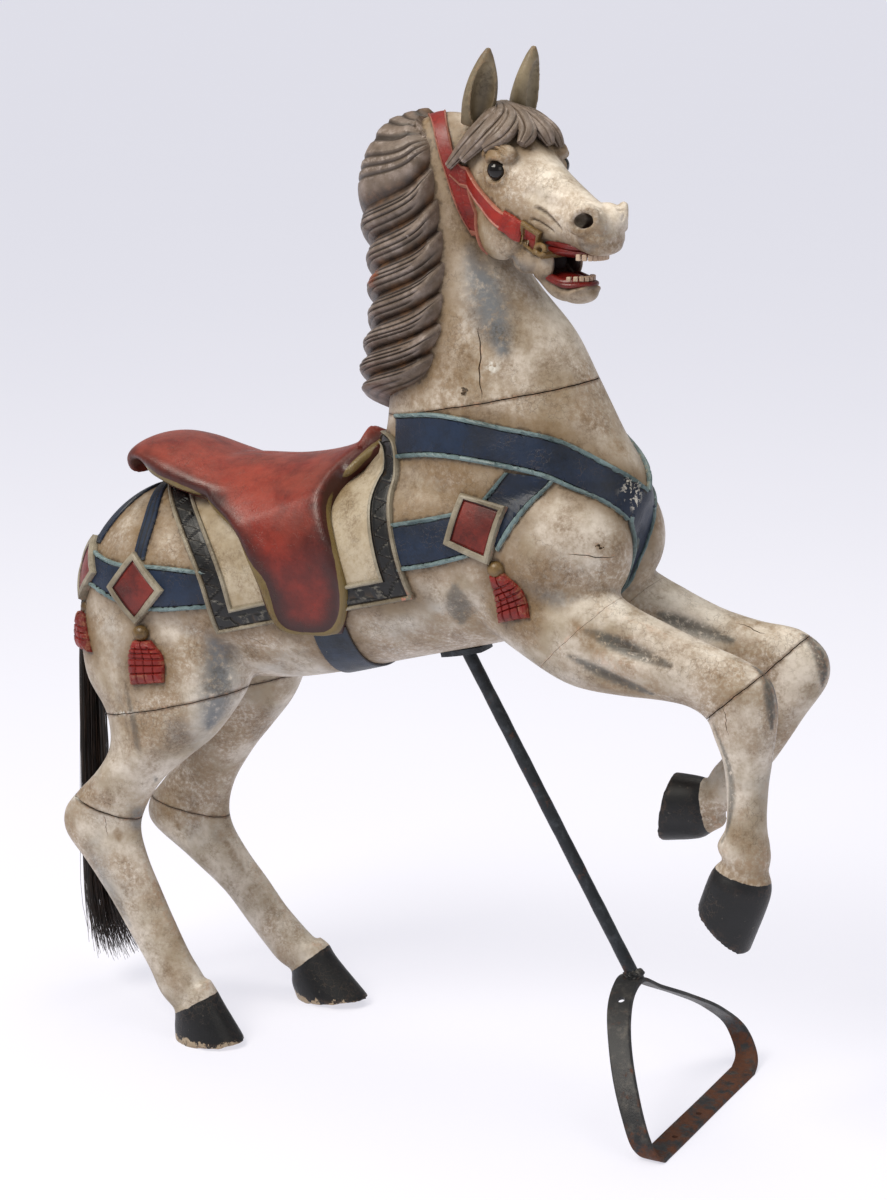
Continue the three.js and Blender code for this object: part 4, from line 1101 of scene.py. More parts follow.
def hairs():
    count, steps = HAIRS, 18
    t = np.linspace(0, 1, steps)
    centre, spread = spline(TAIL_LINE, t), np.interp(t * 7, np.arange(8), TAIL_SPREAD)
    angle = rng.uniform(0, 2 * math.pi, count)
    far = np.sqrt(rng.uniform(0.02, 1, count))
    length = np.clip(1 - np.abs(rng.normal(0, 0.10, count)), 0.55, 1)
    stray = rng.uniform(0, 1, count) > 0.965
    wave = rng.uniform(0, 2 * math.pi, (count, 2))
    bend = rng.normal(0, 5, (count, 2))
    curl = rng.uniform(-4, 26, count)
    verts, faces = [], []
    for k in range(count):
        s = t * length[k]
        middle = np.c_[np.interp(s, t, centre[:, 0]), 0 * s, np.interp(s, t, centre[:, 2])]
        out = np.interp(s, t, spread) * far[k] * (1.12 if stray[k] else 1)
        middle[:, 0] += out * math.cos(angle[k]) * 0.78 + bend[k, 0] * s**2 + 2 * np.sin(5 * s + wave[k, 0])
        middle[:, 1] += out * math.sin(angle[k]) * 0.86 + bend[k, 1] * s**2 + 2 * np.sin(6 * s + wave[k, 1])
        middle[:, 0] += curl[k] * np.clip((s - 0.8) / 0.2, 0, 1) ** 2
        middle[:, 0] = np.clip(middle[:, 0], -604, -500)
        r = (0.75 - 0.45 * t) * (0.7 if stray[k] else 1)
        start = len(verts)
        for i in range(steps):
            for j in range(3):
                a = 2 * math.pi * j / 3 + angle[k]
                x, y, z = middle[i]
                verts.append((x + r[i] * math.cos(a), y + r[i] * math.sin(a), z))
        for i in range(steps - 1):
            for j in range(3):
                a, b = start + 3 * i + j, start + 3 * i + (j + 1) % 3
                faces.append((a, b, b + 3, a + 3))
        faces.append((start + 2, start + 1, start))
        faces.append((start + 3 * steps - 3, start + 3 * steps - 2, start + 3 * steps - 1))
    mesh = bpy.data.meshes.new("hairs")
    mesh.from_pydata(metres(verts).tolist(), [], faces)
    obj = bpy.data.objects.new("hairs", mesh)
    bpy.context.collection.objects.link(obj)
    return face_out(obj)


core_radius = np.interp(np.linspace(0, 1, 24), [0, 0.1, 0.6, 1], [9, 13, 16, 3])
core = tube("core", spline(TAIL_LINE, np.linspace(0, 0.62, 24)), core_radius, 24)
tail = joined("tail_hair", [hairs(), core])
print("tail:", HAIRS, "hairs,", len(tail.data.polygons), "faces")

# %% [markdown]
# ## The stand
# A round bar is welded to a foot bent from strap iron. The strap runs round in one loop, leans back to
# the bar, lies flat along the floor, and has an eye at the top of its near leg and two screw holes in its
# base.

# %% Stand
ROD_TOP, ROD_FOOT, ROD_RADIUS = np.array([38, 0, 592.0]), np.array([288, 0, 176.0]), 9
FOOT_LOOP = [(-150, 3), (0, 3), (140, 3), (172, 16), (181, 48), (150, 84), (90, 122), (34, 152), (0, 172),
             (-38, 168), (-80, 148), (-128, 104), (-164, 52), (-176, 18), (-168, 5)]
STRAP_WIDTH, STRAP_THICK, LEAN, AT_FLOOR = 32, 6, 0.62, 396
PLATE_AT, PLATE_HALF, BELLY_SLOPE = (35, 596), [32.5, 22.5, 4], 13.5
FOOT_SIDES = (-178.8, 184.3)

t = np.linspace(0, 1, 60)
rod_path = ROD_TOP + t[:, None] * (ROD_FOOT - ROD_TOP)
rod = tube("prop_rod_bar", rod_path, ROD_RADIUS - 0.1 + 0.15 * np.sin(t * 41) + 0.1 * np.sin(t * 97), 32)


def strap_foot():
    bpy.ops.object.select_all(action="DESELECT")
    bpy.ops.mesh.primitive_torus_add(major_segments=220, minor_segments=24, major_radius=2, minor_radius=1)
    obj = bpy.context.object
    co = coords(obj)
    round_turn = np.mod(np.arctan2(co[:, 1], co[:, 0]), 2 * math.pi) / (2 * math.pi)
    radial = np.linalg.norm(co[:, :2], axis=1) - 2
    section = np.arctan2(co[:, 2], radial)
    wrapped = [*FOOT_LOOP[-3:], *FOOT_LOOP, *FOOT_LOOP[:4]]
    n = len(wrapped) - 1
    place = lambda s: spline(np.array(wrapped, float), (3 + np.mod(s, 1) * len(FOOT_LOOP)) / n)
    spot, ahead = place(round_turn), unit(place(round_turn + 0.002) - place(round_turn - 0.002))
    spot[:, 1] = np.where(spot[:, 1] < 3.6, 3, spot[:, 1])
    square = lambda v: np.sign(v) * np.abs(v) ** 0.28
    thick = STRAP_THICK / 2 * square(np.cos(section))
    wide = STRAP_WIDTH / 2 * square(np.sin(section)) * (1 + 0.015 * np.sin(round_turn * 60))
    y = np.clip(spot[:, 0] + ahead[:, 1] * thick, *FOOT_SIDES)
    z = np.maximum(spot[:, 1] - ahead[:, 0] * thick, 0.0)
    x = AT_FLOOR + wide - LEAN * z
    set_coords(obj, metres(np.c_[x, y, z]))
    return face_out(obj)


def drill(place, radius, along, long=60):
    """A round cutter through a place, for the eye and the screw holes."""
    spots_along = np.linspace(-long / 2, long / 2, 5)[:, None]
    return tube("drill", np.array(place, float) + spots_along * unit(np.array(along, float)), radius, 24)


print("bar:", np.linalg.norm(ROD_FOOT - ROD_TOP).round(), "mm long")

# %% [markdown]
# The foot is drilled with round cutters for its eye and its screws. The weld is a ball with a rough skin.
# The belly plate starts as a cube, is drawn in towards its ends, and is tipped to the slope of the belly.

# %% Eye, screw holes, weld and plate
foot = strap_foot()
cut(foot, drill((AT_FLOOR - LEAN * 160, -56, 160), 5, (0, -0.5, 0.87)),
    drill((AT_FLOOR, -100, 0), 4, (0.01, 0, 1)), drill((AT_FLOOR, -20, 0), 4, (0.01, 0, 1)))
weld = ball("weld", (ROD_FOOT[0] + 1, 0, ROD_FOOT[2] + 1), (14, 15, 8), 32)
co = coords(weld)
set_coords(weld, co + normals(weld) * (0.0012 * np.sin(co @ [900, 700, 1100]))[:, None])
bpy.ops.object.select_all(action="DESELECT")
bpy.ops.mesh.primitive_cube_add(size=1)
plate = bpy.context.object
apply(plate, "SUBSURF", subdivision_type="SIMPLE", levels=4, render_levels=4)
co = coords(plate) * 2
co[:, 1] *= 1 - 0.22 * np.abs(co[:, 0]) ** 2
co[:, 0] *= 1 - 0.08 * np.abs(co[:, 1]) ** 2
local = co * PLATE_HALF
slope = math.radians(BELLY_SLOPE)
x = PLATE_AT[0] + local[:, 0] * math.cos(slope) - local[:, 2] * math.sin(slope)
z = PLATE_AT[1] + local[:, 0] * math.sin(slope) + local[:, 2] * math.cos(slope)
set_coords(plate, metres(np.c_[x, local[:, 1], z]))
apply(plate, "BEVEL", width=0.0012, segments=3, limit_method="ANGLE")
plate.name = plate.data.name = "belly_plate_iron"
stand_foot = joined("prop_foot_strap", [foot, weld])
print("stand:", len(stand_foot.data.vertices), "vertices in the foot")

# %% [markdown]
# ## Putting the pieces together
# Each block of wood stays a piece of its own. The relief, the saddle, the mane and the mouth are pieces
# too, so that each can be studied alone, and all of them ride with the horse because nothing on it moves.

# %% Pieces
def settle(obj, name, slot_name, *nodes):
    """Names a finished piece, hangs it under the root body, and hides the solids it stands for."""
    obj.name = obj.data.name = name
    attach(obj, "root")
    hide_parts(*nodes)
    return obj


def dressed(obj, *materials):
    """Gives an object its materials; the faces keep the number of the one they had."""
    obj.data.materials.clear()
    for material in materials:
        obj.data.materials.append(bpy.data.materials.get(material) or bpy.data.materials.new(material))
    return obj


for obj in list(blocks.values()) + [head]:
    dressed(obj, "cream_paint")
for obj in ears:
    dressed(obj, "ear_paint")
for obj in knobs:
    dressed(obj, "gilt")
dressed(throat, "mouth_dark")
dressed(gums, "gum_paint")
wood = {name: settle(obj, name + "_carved", "painted_wood", name)
        for name, obj in blocks.items() if name != "neck"}
wood["head_and_neck"] = settle(joined("whole_head", [blocks["neck"], head, *ears]), "head_and_neck_carved",
                               "painted_wood", "head_and_neck")
relief = settle(joined("relief", harness + cloths + diamonds + tassels + knobs), "harness_relief",
                "painted_wood", "trunk")
saddle = settle(dressed(saddle, "saddle_paint"), "saddle_carved", "painted_wood", "trunk")
mane = settle(dressed(mane, "mane_paint"), "mane_carved", "painted_wood", "head_and_neck")
bridle = settle(joined("bridle", bridle + buckles), "bridle_relief", "painted_wood", "head_and_neck")
gilt = settle(dressed(gilt, "gilt"), "bit_and_rings", "painted_wood", "head_and_neck")
settle(dressed(all_teeth, "tooth_paint"), "teeth_carved", "painted_wood", "head_and_neck")
gums = settle(joined("gums", [gums, throat]), "gums_carved", "painted_wood", "head_and_neck")
for obj, name in zip(eyes, ("right_eye", "left_eye")):
    settle(dressed(obj, "eye_glass"), name + "_glass", "eye_glass", name)
tail = settle(dressed(tail, "horsehair"), "tail_horsehair", "tail_hair", "tail")
plate = settle(dressed(plate, "blackened_iron"), "belly_plate_iron", "iron", "belly_plate")
rod = settle(dressed(rod, "blackened_iron"), "prop_rod_bar", "iron", "prop_rod")
stand_foot = settle(dressed(stand_foot, "rusty_iron"), "prop_foot_strap", "iron", "prop_foot")

# %% [markdown]
# ## What the paint needs to know
# Grime gathers in hollows and along the relief, paint chips off edges and joints, and the painter shaded
# some places blue-grey. Each of these is measured on the mesh once and kept with it, in millimetres or as
# a share.

# %% Distances
def keep(obj, name, values):
    attribute = obj.data.attributes.get(name) or obj.data.attributes.new(name, "FLOAT", "POINT")
    attribute.data.foreach_set("value", np.asarray(values, np.float32))


def hollows(obj, rounds):
    """How far each point lies below the smoothed surface, in mm: above 0 in a hollow, below 0 on an edge."""
    edges = np.empty(len(obj.data.edges) * 2, np.int32)
    obj.data.edges.foreach_get("vertices", edges)
    a, b = edges.reshape(-1, 2).T
    co = coords(obj)
    ends, starts = np.r_[a, b], np.r_[b, a]
    count = np.maximum(np.bincount(ends, minlength=len(co)), 1)[:, None]
    soft = co
    for _ in range(rounds):
        total = [np.bincount(ends, soft[starts, k], len(co)) for k in range(3)]
        soft = soft / 2 + np.stack(total, 1) / count / 2
    return np.sum((soft - co) * normals(obj), axis=1) * 1000


def to_nearest(obj, others, far=60):
    """How far each point is from the other pieces, in mm."""
    tree = tree_of(*others)
    found = [tree.find_nearest(co, far * 0.001)[3] for co in (v.co for v in obj.data.vertices)]
    return [far if gap is None else gap * 1000 for gap in found]


def to_joint(mm):
    """How far points are from the glue lines, in mm."""
    best = np.full(len(mm), 200.0)
    for place, slope, length, sides, gape in CUTS:
        if max(gape) < 0.5:
            continue
        a = math.radians(slope)
        along = (mm[:, 0] - place[0]) * math.cos(a) + (mm[:, 2] - place[1]) * math.sin(a)
        off = np.abs((mm[:, 2] - place[1]) * math.cos(a) - (mm[:, 0] - place[0]) * math.sin(a))
        inside = (np.abs(along) < length / 2) & (mm[:, 1] > sides[0]) & (mm[:, 1] < sides[1])
        best = np.where(inside, np.minimum(best, off), best)
    return best

# %% [markdown]
# The painter's marks and the stains lie along lines: dark spindles down the forearms, blue-grey shade on
# neck, flank and hock, brown handling stains, white filler and chips. Each is a line with a width in mm
# and a strength, thinner at its ends, as a brush stroke is.

# %% Marks of brush and wear
def spots(mm, marks, crisp=2.4):
    """The strength of marks along lines, from 0 to 1; a mark is a line, its width in mm and a strength."""
    value = np.zeros(len(mm))
    for line, width, strength in marks:
        gap, place = closest(mm, along(line, 16))
        leaf = width * np.sin(math.pi * (0.12 + 0.76 * place))
        value = np.maximum(value, strength * np.exp(-(gap / leaf) ** crisp))
    return value


def paired(marks):
    return [(side, width, strength) for line, width, strength in marks for side in both(line)]


SPINDLES = paired([
    ([(262, -121, 682), (322, -116, 664), (384, -122, 651)], 11, 1.0),
    ([(248, -125, 647), (304, -116, 624), (358, -116, 608)], 10, 0.9),
    ([(290, 41, 669), (345, 48, 654), (395, 54, 641)], 11, 0.95),
    ([(81, -118, 716), (80, -108, 690), (77, -97, 660)], 18, 0.75),
    ([(486, -89, 652), (510, -100, 618), (513, -100, 582)], 9, 1.0),
    ([(482, 86, 654), (509, 80, 625), (513, 80, 588)], 10, 1.0),
    ([(440, -111, 584), (464, -110, 520), (464, -107, 466), (452, -106, 426)], 6, 0.8),
    ([(-428, -135, 520), (-410, -140, 450), (-396, -109, 372)], 7, 0.8)])
SHADED = paired([
    ([(160, -120, 738), (212, -112, 716), (262, -100, 716)], 11, 0.7),
    ([(-298, -107, 610), (-291, -105, 556), (-300, -107, 500), (-306, -109, 466)], 26, 0.95),
    ([(-60, -118, 640), (20, -118, 640), (70, -112, 630)], 24, 0.3),
    ([(-330, -136, 430), (-352, -130, 480)], 22, 0.4),
    ([(-432, -115, 336), (-418, -109, 296)], 16, 0.8),
    ([(68, -51, 1144), (94, -57, 1083), (122, -69, 1019)], 28, 0.95),
    ([(150, -60, 1120), (190, -50, 1040), (250, -30, 960)], 16, 0.3),
    ([(-512, -122, 300), (-484, -130, 240), (-436, -130, 160)], 13, 0.45),
    ([(300, -60, 900), (280, -80, 860)], 14, 0.4)])
SOILED = paired([
    ([(-450, -133, 302), (-448, -133, 286)], 9, 1.0), ([(-483, 67, 244), (-480, 67, 234)], 8, 1.0),
    ([(-408, 81, 222), (-376, 81, 181)], 8, 0.8), ([(268, -127, 668), (256, -125, 678)], 14, 1.0),
    ([(269, -96, 787), (276, -90, 781)], 8, 1.0), ([(471, -113, 508), (478, -109, 499)], 7, 0.8),
    ([(-30, -60, 960), (60, -84, 985), (90, -70, 1080)], 100, 0.95),
    ([(120, -80, 960), (220, -50, 930)], 80, 0.8),
    ([(60, -60, 1180), (120, -60, 1080), (190, -50, 1000)], 60, 0.6),
    ([(-500, -110, 480), (-420, -140, 440)], 60, 0.5),
    ([(150, -110, 770), (240, -90, 730)], 80, 0.8), ([(200, -118, 740), (250, -96, 710)], 30, 1.0),
    ([(330, -128, 690), (420, -118, 668)], 34, 0.6), ([(250, -124, 690), (280, -124, 660)], 20, 1.0),
    ([(-40, -110, 830), (100, -112, 850)], 50, 0.7), ([(-530, -120, 350), (-470, -136, 340)], 22, 0.9),
    ([(-500, -110, 600), (-420, -134, 560)], 70, 0.6), ([(-500, -80, 730), (-400, -100, 740)], 50, 0.75),
    ([(490, -110, 380), (450, -112, 390)], 22, 0.7), ([(-370, -130, 120), (-350, -134, 80)], 22, 0.7),
    ([(-150, -100, 570), (100, -100, 590)], 36, 0.5), ([(450, -122, 620), (500, -112, 560)], 30, 0.5),
    ([(110, -45, 1205), (150, -45, 1150)], 26, 0.4), ([(60, -50, 1290), (100, -50, 1270)], 20, 0.4)])
CHALK = [([(-452, -128, 470), (-420, -134, 478), (-380, -138, 486)], 3.5, 1.0),
         ([(-548, -122, 338), (-500, -130, 330)], 4.0, 1.0), ([(-500, 80, 268), (-470, 70, 264)], 3.0, 0.8),
         ([(111, -78, 1004), (114, -78, 992)], 9, 1.0)]
CHIPS = [([(281, -31, 864), (293, -29, 824)], 15, 1.0), ([(24, -124, 690), (4, -122, 690)], 12, 1.0),
         ([(-36, -92, 926), (-20, -90, 930)], 6, 1.0)]
CORONET = {"right_hind_shank": "right_hind", "left_hind_shank": "left_hind",
           "right_foreleg_lower": "right_fore", "left_foreleg_lower": "left_fore"}


def on_face(marks):
    """Marks given in the head's plane, on both sides of it."""
    return [(from_head([(u, v * side, z) for u, v, z in line]), width, strength)
            for side in (-1, 1) for line, width, strength in marks]


# Painted shade: the insides of the nostrils and of the mouth are darkened near black, where light does not
# reach.
HOLE_SHADE = on_face([
    ([(206, 30, 1196), (222, 24, 1196)], 15, 1.0),
    ([(96, 6, 1132), (176, 6, 1131)], 20, 1.0)])
# Painted shade with some dirt: brown in the creases round the eye, in the cheek cuts, under the nostril and
# behind the jowl.
FACE_CREASE_SHADE = on_face([
    ([(48, 56, 1250), (68, 60, 1232), (90, 54, 1246)], 19, 1.0),
    ([(46, 58, 1264), (68, 60, 1270), (90, 52, 1262)], 10, 0.9),
    ([(128, 44, 1204), (176, 38, 1174)], 7, 0.8),
    ([(122, 44, 1190), (160, 38, 1168)], 7, 0.8),
    ([(196, 40, 1180), (214, 36, 1178), (228, 26, 1184)], 9, 0.8),
    ([(100, 44, 1180), (112, 40, 1150)], 14, 0.7)])
FACE_SHADE = on_face([
    ([(84, 40, 1140), (130, 30, 1112), (160, 26, 1100)], 13, 0.8),
    ([(200, 34, 1160), (226, 20, 1166)], 9, 0.7)])
MANE_BARE = [([(-80, -63, 1091), (-56, -75, 1105)], 10, 1.0)]
print("marks:", len(SPINDLES), "spindles,", len(SHADED), "shades,", len(SOILED), "stains")

# %% [markdown]
# The measures are kept on the meshes as attributes, one number for each vertex. A shader reads them by
# name, and they travel with the piece, which a pattern that hangs on a place in the room would not.

# %% Writing the measures on the pieces
for name, obj in wood.items():
    mm = millimetres(coords(obj))
    keep(obj, "hollow", hollows(obj, 14))
    keep(obj, "joint", to_joint(mm))
    head_marks = name == "head_and_neck"
    keep(obj, "shaded", spots(mm, SHADED + FACE_SHADE * head_marks))
    keep(obj, "soiled", spots(mm, SOILED + FACE_CREASE_SHADE * head_marks))
    keep(obj, "spindle", spots(mm, SPINDLES, 5))
    keep(obj, "hole", spots(mm, HOLE_SHADE * head_marks))
    keep(obj, "chalk", spots(mm, CHALK))
    others = {"trunk": [relief, saddle], "head_and_neck": [mane, bridle, gums]}.get(name)
    keep(obj, "relief", to_nearest(obj, others) if others else np.full(len(mm), 60.0))
    hoof = np.full(len(mm), -50.0)
    if name in CORONET:
        x1, z1, x2, z2, y, _ = HOOVES[CORONET[name]][1]
        tip = HOOVES[CORONET[name]][3]
        across, down = np.array([x2 - x1, z2 - z1]), np.array([tip[0] - x1, tip[1] - z1])
        down = down - across * (down @ across) / (across @ across)
        hoof = (mm[:, [0, 2]] - [x1, z1]) @ (down / np.linalg.norm(down))
    keep(obj, "hoof", hoof)
for obj, rounds in ((relief, 3), (saddle, 14), (mane, 4), (bridle, 3), (gums, 3), (gilt, 3)):
    keep(obj, "hollow", hollows(obj, rounds))
keep(relief, "chips", spots(millimetres(coords(relief)), CHIPS))
keep(mane, "bare", spots(millimetres(coords(mane)), MANE_BARE))
mm = millimetres(coords(saddle))
rims = [closest(mm, laid(mm, along([(x, y * side, z) for x, y, z in RIM], 80)))[0] for side in (1, -1)]
keep(saddle, "rim", np.minimum(*rims))
print("paint measures kept on", len(wood) + 6, "pieces")

# %% [markdown]
# ## Paint, iron, glass and hair
# The horse has been painted many times in oil paint. The ivory has crackled and browned with handling,
# the colours have worn along their edges, and dirt is packed in the carving. One function builds a node
# with its settings and links; one recipe makes every aged paint, with its own colours and its own wear.

# %% Helpers for finishes
def linear(colour):
    """An sRGB hex colour as linear red, green, blue and opacity."""
    shares = [int(colour[i:i + 2], 16) / 255 for i in (0, 2, 4)]
    return (*[c / 12.92 if c <= 0.04045 else ((c + 0.055) / 1.055) ** 2.4 for c in shares], 1.0)


def blank(name):
    material = bpy.data.materials.get(name) or bpy.data.materials.new(name)
    material.use_nodes = True
    material.node_tree.nodes.clear()
    return material


def add(tree, kind, inputs=(), **settings):
    """Adds a node; an input takes a link, a hex colour or a number. Gives back the node's outputs."""
    node = tree.nodes.new("ShaderNode" + kind)
    for key, value in settings.items():
        setattr(node, key, value)
    for key, value in dict(inputs).items():
        if isinstance(value, bpy.types.NodeSocket):
            tree.links.new(value, node.inputs[key])
        else:
            node.inputs[key].default_value = linear(value) if isinstance(value, str) else value
    return node.outputs


def places(tree):
    return add(tree, "TexCoord")["Object"]


def measured(tree, name):
    return add(tree, "Attribute", attribute_name=name)["Fac"]

# %% [markdown]
# Every finish is made of a few small steps: noise whose blots have a real size in millimetres, a soft
# step that turns it into a share from 0 to 1, and a blend of two colours by that share.

# %% Noise, shares and blends
def noise(tree, size, detail=4.0, rough=0.55, at=None, twist=0.0):
    """Noise whose blots are about that many mm across."""
    inputs = {"Vector": at or places(tree), "Scale": 1000 / size, "Detail": detail, "Roughness": rough,
              "Distortion": twist}
    return add(tree, "TexNoise", inputs)["Fac"]


def share(tree, value, low, high):
    """0 below low, 1 above high, and a smooth step between; high may be the lower one."""
    inputs = {"Value": value, "From Min": low, "From Max": high}
    return add(tree, "MapRange", inputs, interpolation_type="SMOOTHSTEP")["Result"]


def maths(tree, operation, a, b=0.0):
    return add(tree, "Math", {0: a, 1: b}, operation=operation)["Value"]


def either(tree, a, b):
    """The stronger of two shares."""
    return maths(tree, "MAXIMUM", a, b)


def both_of(tree, *values):
    result = values[0]
    for value in values[1:]:
        result = maths(tree, "MULTIPLY", result, value)
    return result


def blend(tree, amount, first, second, kind="MIX"):
    return add(tree, "Mix", {"Factor": amount, 6: first, 7: second}, data_type="RGBA", blend_type=kind)[2]


def finish(tree, colour, rough, height=None, depth=0.3, **plain):
    """Ends a tree in the one shader; plain numbers go on its own sockets."""
    inputs = {"Base Color": colour, "Roughness": rough}
    for key, value in plain.items():
        inputs[key.replace("_", " ").title().replace("Ior", "IOR")] = value
    if height is not None:
        bump = {"Height": height, "Distance": depth * 0.001, "Strength": 1.0}
        inputs["Normal"] = add(tree, "Bump", bump)["Normal"]
    shader = add(tree, "BsdfPrincipled", inputs)["BSDF"]
    add(tree, "OutputMaterial", {"Surface": shader})


# %% [markdown]
# Old oil paint shrinks as it dries, so it cracks into islands about a centimetre across. The cracks hold
# dirt and the islands curl a little; where the wood moves they fall off and show the ground beneath.

# %% Aged paint
def crackle(tree, size, width):
    """Cracks between islands about that many mm across: 1 in a crack, 0 on the paint."""
    bent = add(tree, "TexNoise", {"Vector": places(tree), "Scale": 1000 / size * 1.3, "Detail": 3.0})["Color"]
    spot = add(tree, "VectorMath", {0: bent, "Scale": size * 0.0011}, operation="SCALE")["Vector"]
    spot = add(tree, "VectorMath", {0: places(tree), 1: spot}, operation="ADD")["Vector"]
    cells = add(tree, "TexVoronoi", {"Vector": spot, "Scale": 1000 / size}, feature="DISTANCE_TO_EDGE")
    return share(tree, cells["Distance"], width / size, 0.2 * width / size)


def aged(name, light, dark, ground, dirt, wear=0.3, cracks=0.25, size=9.0, rough=0.5, special=None,
         edge=-0.6):
    """An aged paint: two tones of its colour, what shows where it has worn off, and its dirt."""
    tree = blank(name).node_tree
    hollow = measured(tree, "hollow")
    colour = blend(tree, share(tree, noise(tree, 70, 5), 0.35, 0.68), light, dark)
    colour = blend(tree, both_of(tree, share(tree, noise(tree, 9, 7, 0.68), 0.45, 0.7), 0.5), colour, dark)
    grime, kept = share(tree, noise(tree, 38, 8, 0.66), 0.42, 0.68), 1.0
    if special:
        colour, grime, kept = special(tree, colour, grime)
    film = both_of(tree, grime, share(tree, noise(tree, 4, 5, 0.75), 0.3, 0.68))
    colour = blend(tree, both_of(tree, film, 0.7), colour, dirt, "MULTIPLY")
    lines = both_of(tree, crackle(tree, size, 0.4), share(tree, noise(tree, 42, 3), 0.5, 0.62))
    colour = blend(tree, both_of(tree, lines, cracks), colour, "4A3A2B")
    pits = share(tree, noise(tree, 2.6, 3, 0.8), 0.68, 0.73)
    colour = blend(tree, both_of(tree, pits, 0.4), colour, "54422F")
    rubbed = share(tree, noise(tree, 8, 7, 0.7), 0.46, 0.6)
    rubbed = both_of(tree, share(tree, hollow, edge * 0.5, edge * 1.6), rubbed)
    flaked = share(tree, noise(tree, 24, 9, 0.72, twist=0.4), 0.735 - 0.1 * wear, 0.745 - 0.1 * wear)
    bare = both_of(tree, either(tree, both_of(tree, rubbed, wear), both_of(tree, flaked, 0.8)), kept)
    colour = blend(tree, bare, colour, ground)
    packed = share(tree, noise(tree, 14, 4), 0.2, 0.55)
    packed = both_of(tree, share(tree, hollow, -edge * 0.3, -edge * 2.2), packed)
    colour = blend(tree, both_of(tree, packed, 0.7), colour, "3E3022")
    height = maths(tree, "SUBTRACT", noise(tree, 5, 6, 0.7), both_of(tree, lines, 0.5))
    height = maths(tree, "SUBTRACT", height, both_of(tree, bare, 0.45))
    shine = maths(tree, "ADD", both_of(tree, noise(tree, 22, 5), 0.35), both_of(tree, bare, 0.2))
    finish(tree, colour, maths(tree, "ADD", shine, rough - 0.17), height, 0.35, ior=1.45)

# %% [markdown]
# The body was painted ivory. It has gone cool in places and brown in others. Its upward faces are painted
# lighter, as light from above falls on them, in patches that also stand for paint wiped clean. Over that lie
# the dark spindles, stains, blue-grey shade, the dirt beside the harness and in the joints, white filler,
# and the black hooves with their scuffed rims. Painted shade darkens the creases of the face and the
# insides of the nostrils and mouth.

# %% Ivory
def ivory(tree, colour, grime):
    """The body's own layers: shading, stains, filler, joints, dirt along the relief and the black hooves,
    with painted light on upward faces and painted shade in the face's creases, nostrils and mouth.
    """
    soft = share(tree, noise(tree, 10, 7, 0.7), 0.22, 0.55)
    cool = share(tree, noise(tree, 95, 3), 0.52, 0.72)
    colour = blend(tree, both_of(tree, cool, 0.45), colour, "A4A5A4")
    warm = share(tree, noise(tree, 6, 7, 0.75), 0.34, 0.58)
    warm = both_of(tree, share(tree, noise(tree, 110, 4), 0.42, 0.60), warm)
    colour = blend(tree, both_of(tree, warm, 0.75), colour, "8A7052")
    # Painted light: faces that point up are made lighter, as light from above falls on them, in patches that
    # also stand for paint wiped clean.
    facing = add(tree, "SeparateXYZ", {"Vector": add(tree, "NewGeometry")["Normal"]})["Z"]
    top_light_and_clean_patches = share(tree, noise(tree, 30, 7, 0.7), 0.66, 0.4)
    colour = blend(tree, both_of(tree, share(tree, facing, 0.15, 0.95), top_light_and_clean_patches, 0.6), colour, "E0DAD0")
    rubbed = share(tree, noise(tree, 7, 7, 0.7), 0.7, 0.5)
    colour = blend(tree, both_of(tree, measured(tree, "spindle"), rubbed, 0.9), colour, "4C4C48")
    patchy = maths(tree, "ADD", both_of(tree, share(tree, noise(tree, 12, 8, 0.7), 0.36, 0.62), 0.6), 0.4)
    # Brown stains, and on the face painted shade in its creases.
    colour = blend(tree, both_of(tree, measured(tree, "soiled"), patchy, 0.85), colour, "7E6648")
    colour = blend(tree, both_of(tree, measured(tree, "shaded"), soft, 0.95), colour, "60666C")
    gap = maths(tree, "ADD", measured(tree, "relief"), both_of(tree, noise(tree, 8, 5), 14))
    colour = blend(tree, both_of(tree, share(tree, gap, 42, 8), 0.75), colour, "745D3E")
    colour = blend(tree, both_of(tree, share(tree, gap, 11, 7), 0.7), colour, "3E2F20")
    # Painted shade inside the nostrils and the mouth.
    colour = blend(tree, share(tree, measured(tree, "hole"), 0.3, 0.6), colour, "26100B")
    ragged = maths(tree, "SUBTRACT", measured(tree, "joint"), both_of(tree, noise(tree, 6, 6, 0.7), 6))
    colour = blend(tree, both_of(tree, share(tree, ragged, 1.5, -2.5), 0.7), colour, "4B3928")
    white = both_of(tree, measured(tree, "chalk"), share(tree, noise(tree, 7, 6), 0.42, 0.5))
    colour = blend(tree, white, colour, "D8D6CE")
    wavy = maths(tree, "ADD", measured(tree, "hoof"), both_of(tree, noise(tree, 12, 4), 4))
    black = share(tree, wavy, 1.8, 2.6)
    worn = share(tree, noise(tree, 10, 9, 0.75), 0.63, 0.68)
    horn = blend(tree, both_of(tree, worn, 0.6), "0E0F12", "6A645B")
    low = share(tree, add(tree, "SeparateXYZ", {"Vector": places(tree)})["Z"], 0.022, 0.004)
    scuffed = share(tree, maths(tree, "ADD", noise(tree, 14, 6, 0.7), both_of(tree, low, 0.3)), 0.70, 0.74)
    horn = blend(tree, scuffed, horn, blend(tree, noise(tree, 6, 4), "B9AE98", "7A5A3C"))
    colour = blend(tree, black, colour, horn)
    paint = share(tree, wavy, 2.6, 1.8)
    return colour, both_of(tree, grime, paint), maths(tree, "ADD", both_of(tree, paint, 0.75), 0.25)

# %% [markdown]
# Harness, mane and saddle follow the same recipe and add their own layers: a dark line where a field
# meets its piping, painted brown shade in the valleys and cuts of the mane, and a gilt rim on the saddle,
# with the red darkening towards it and its top painted lighter for light from above and for wear.

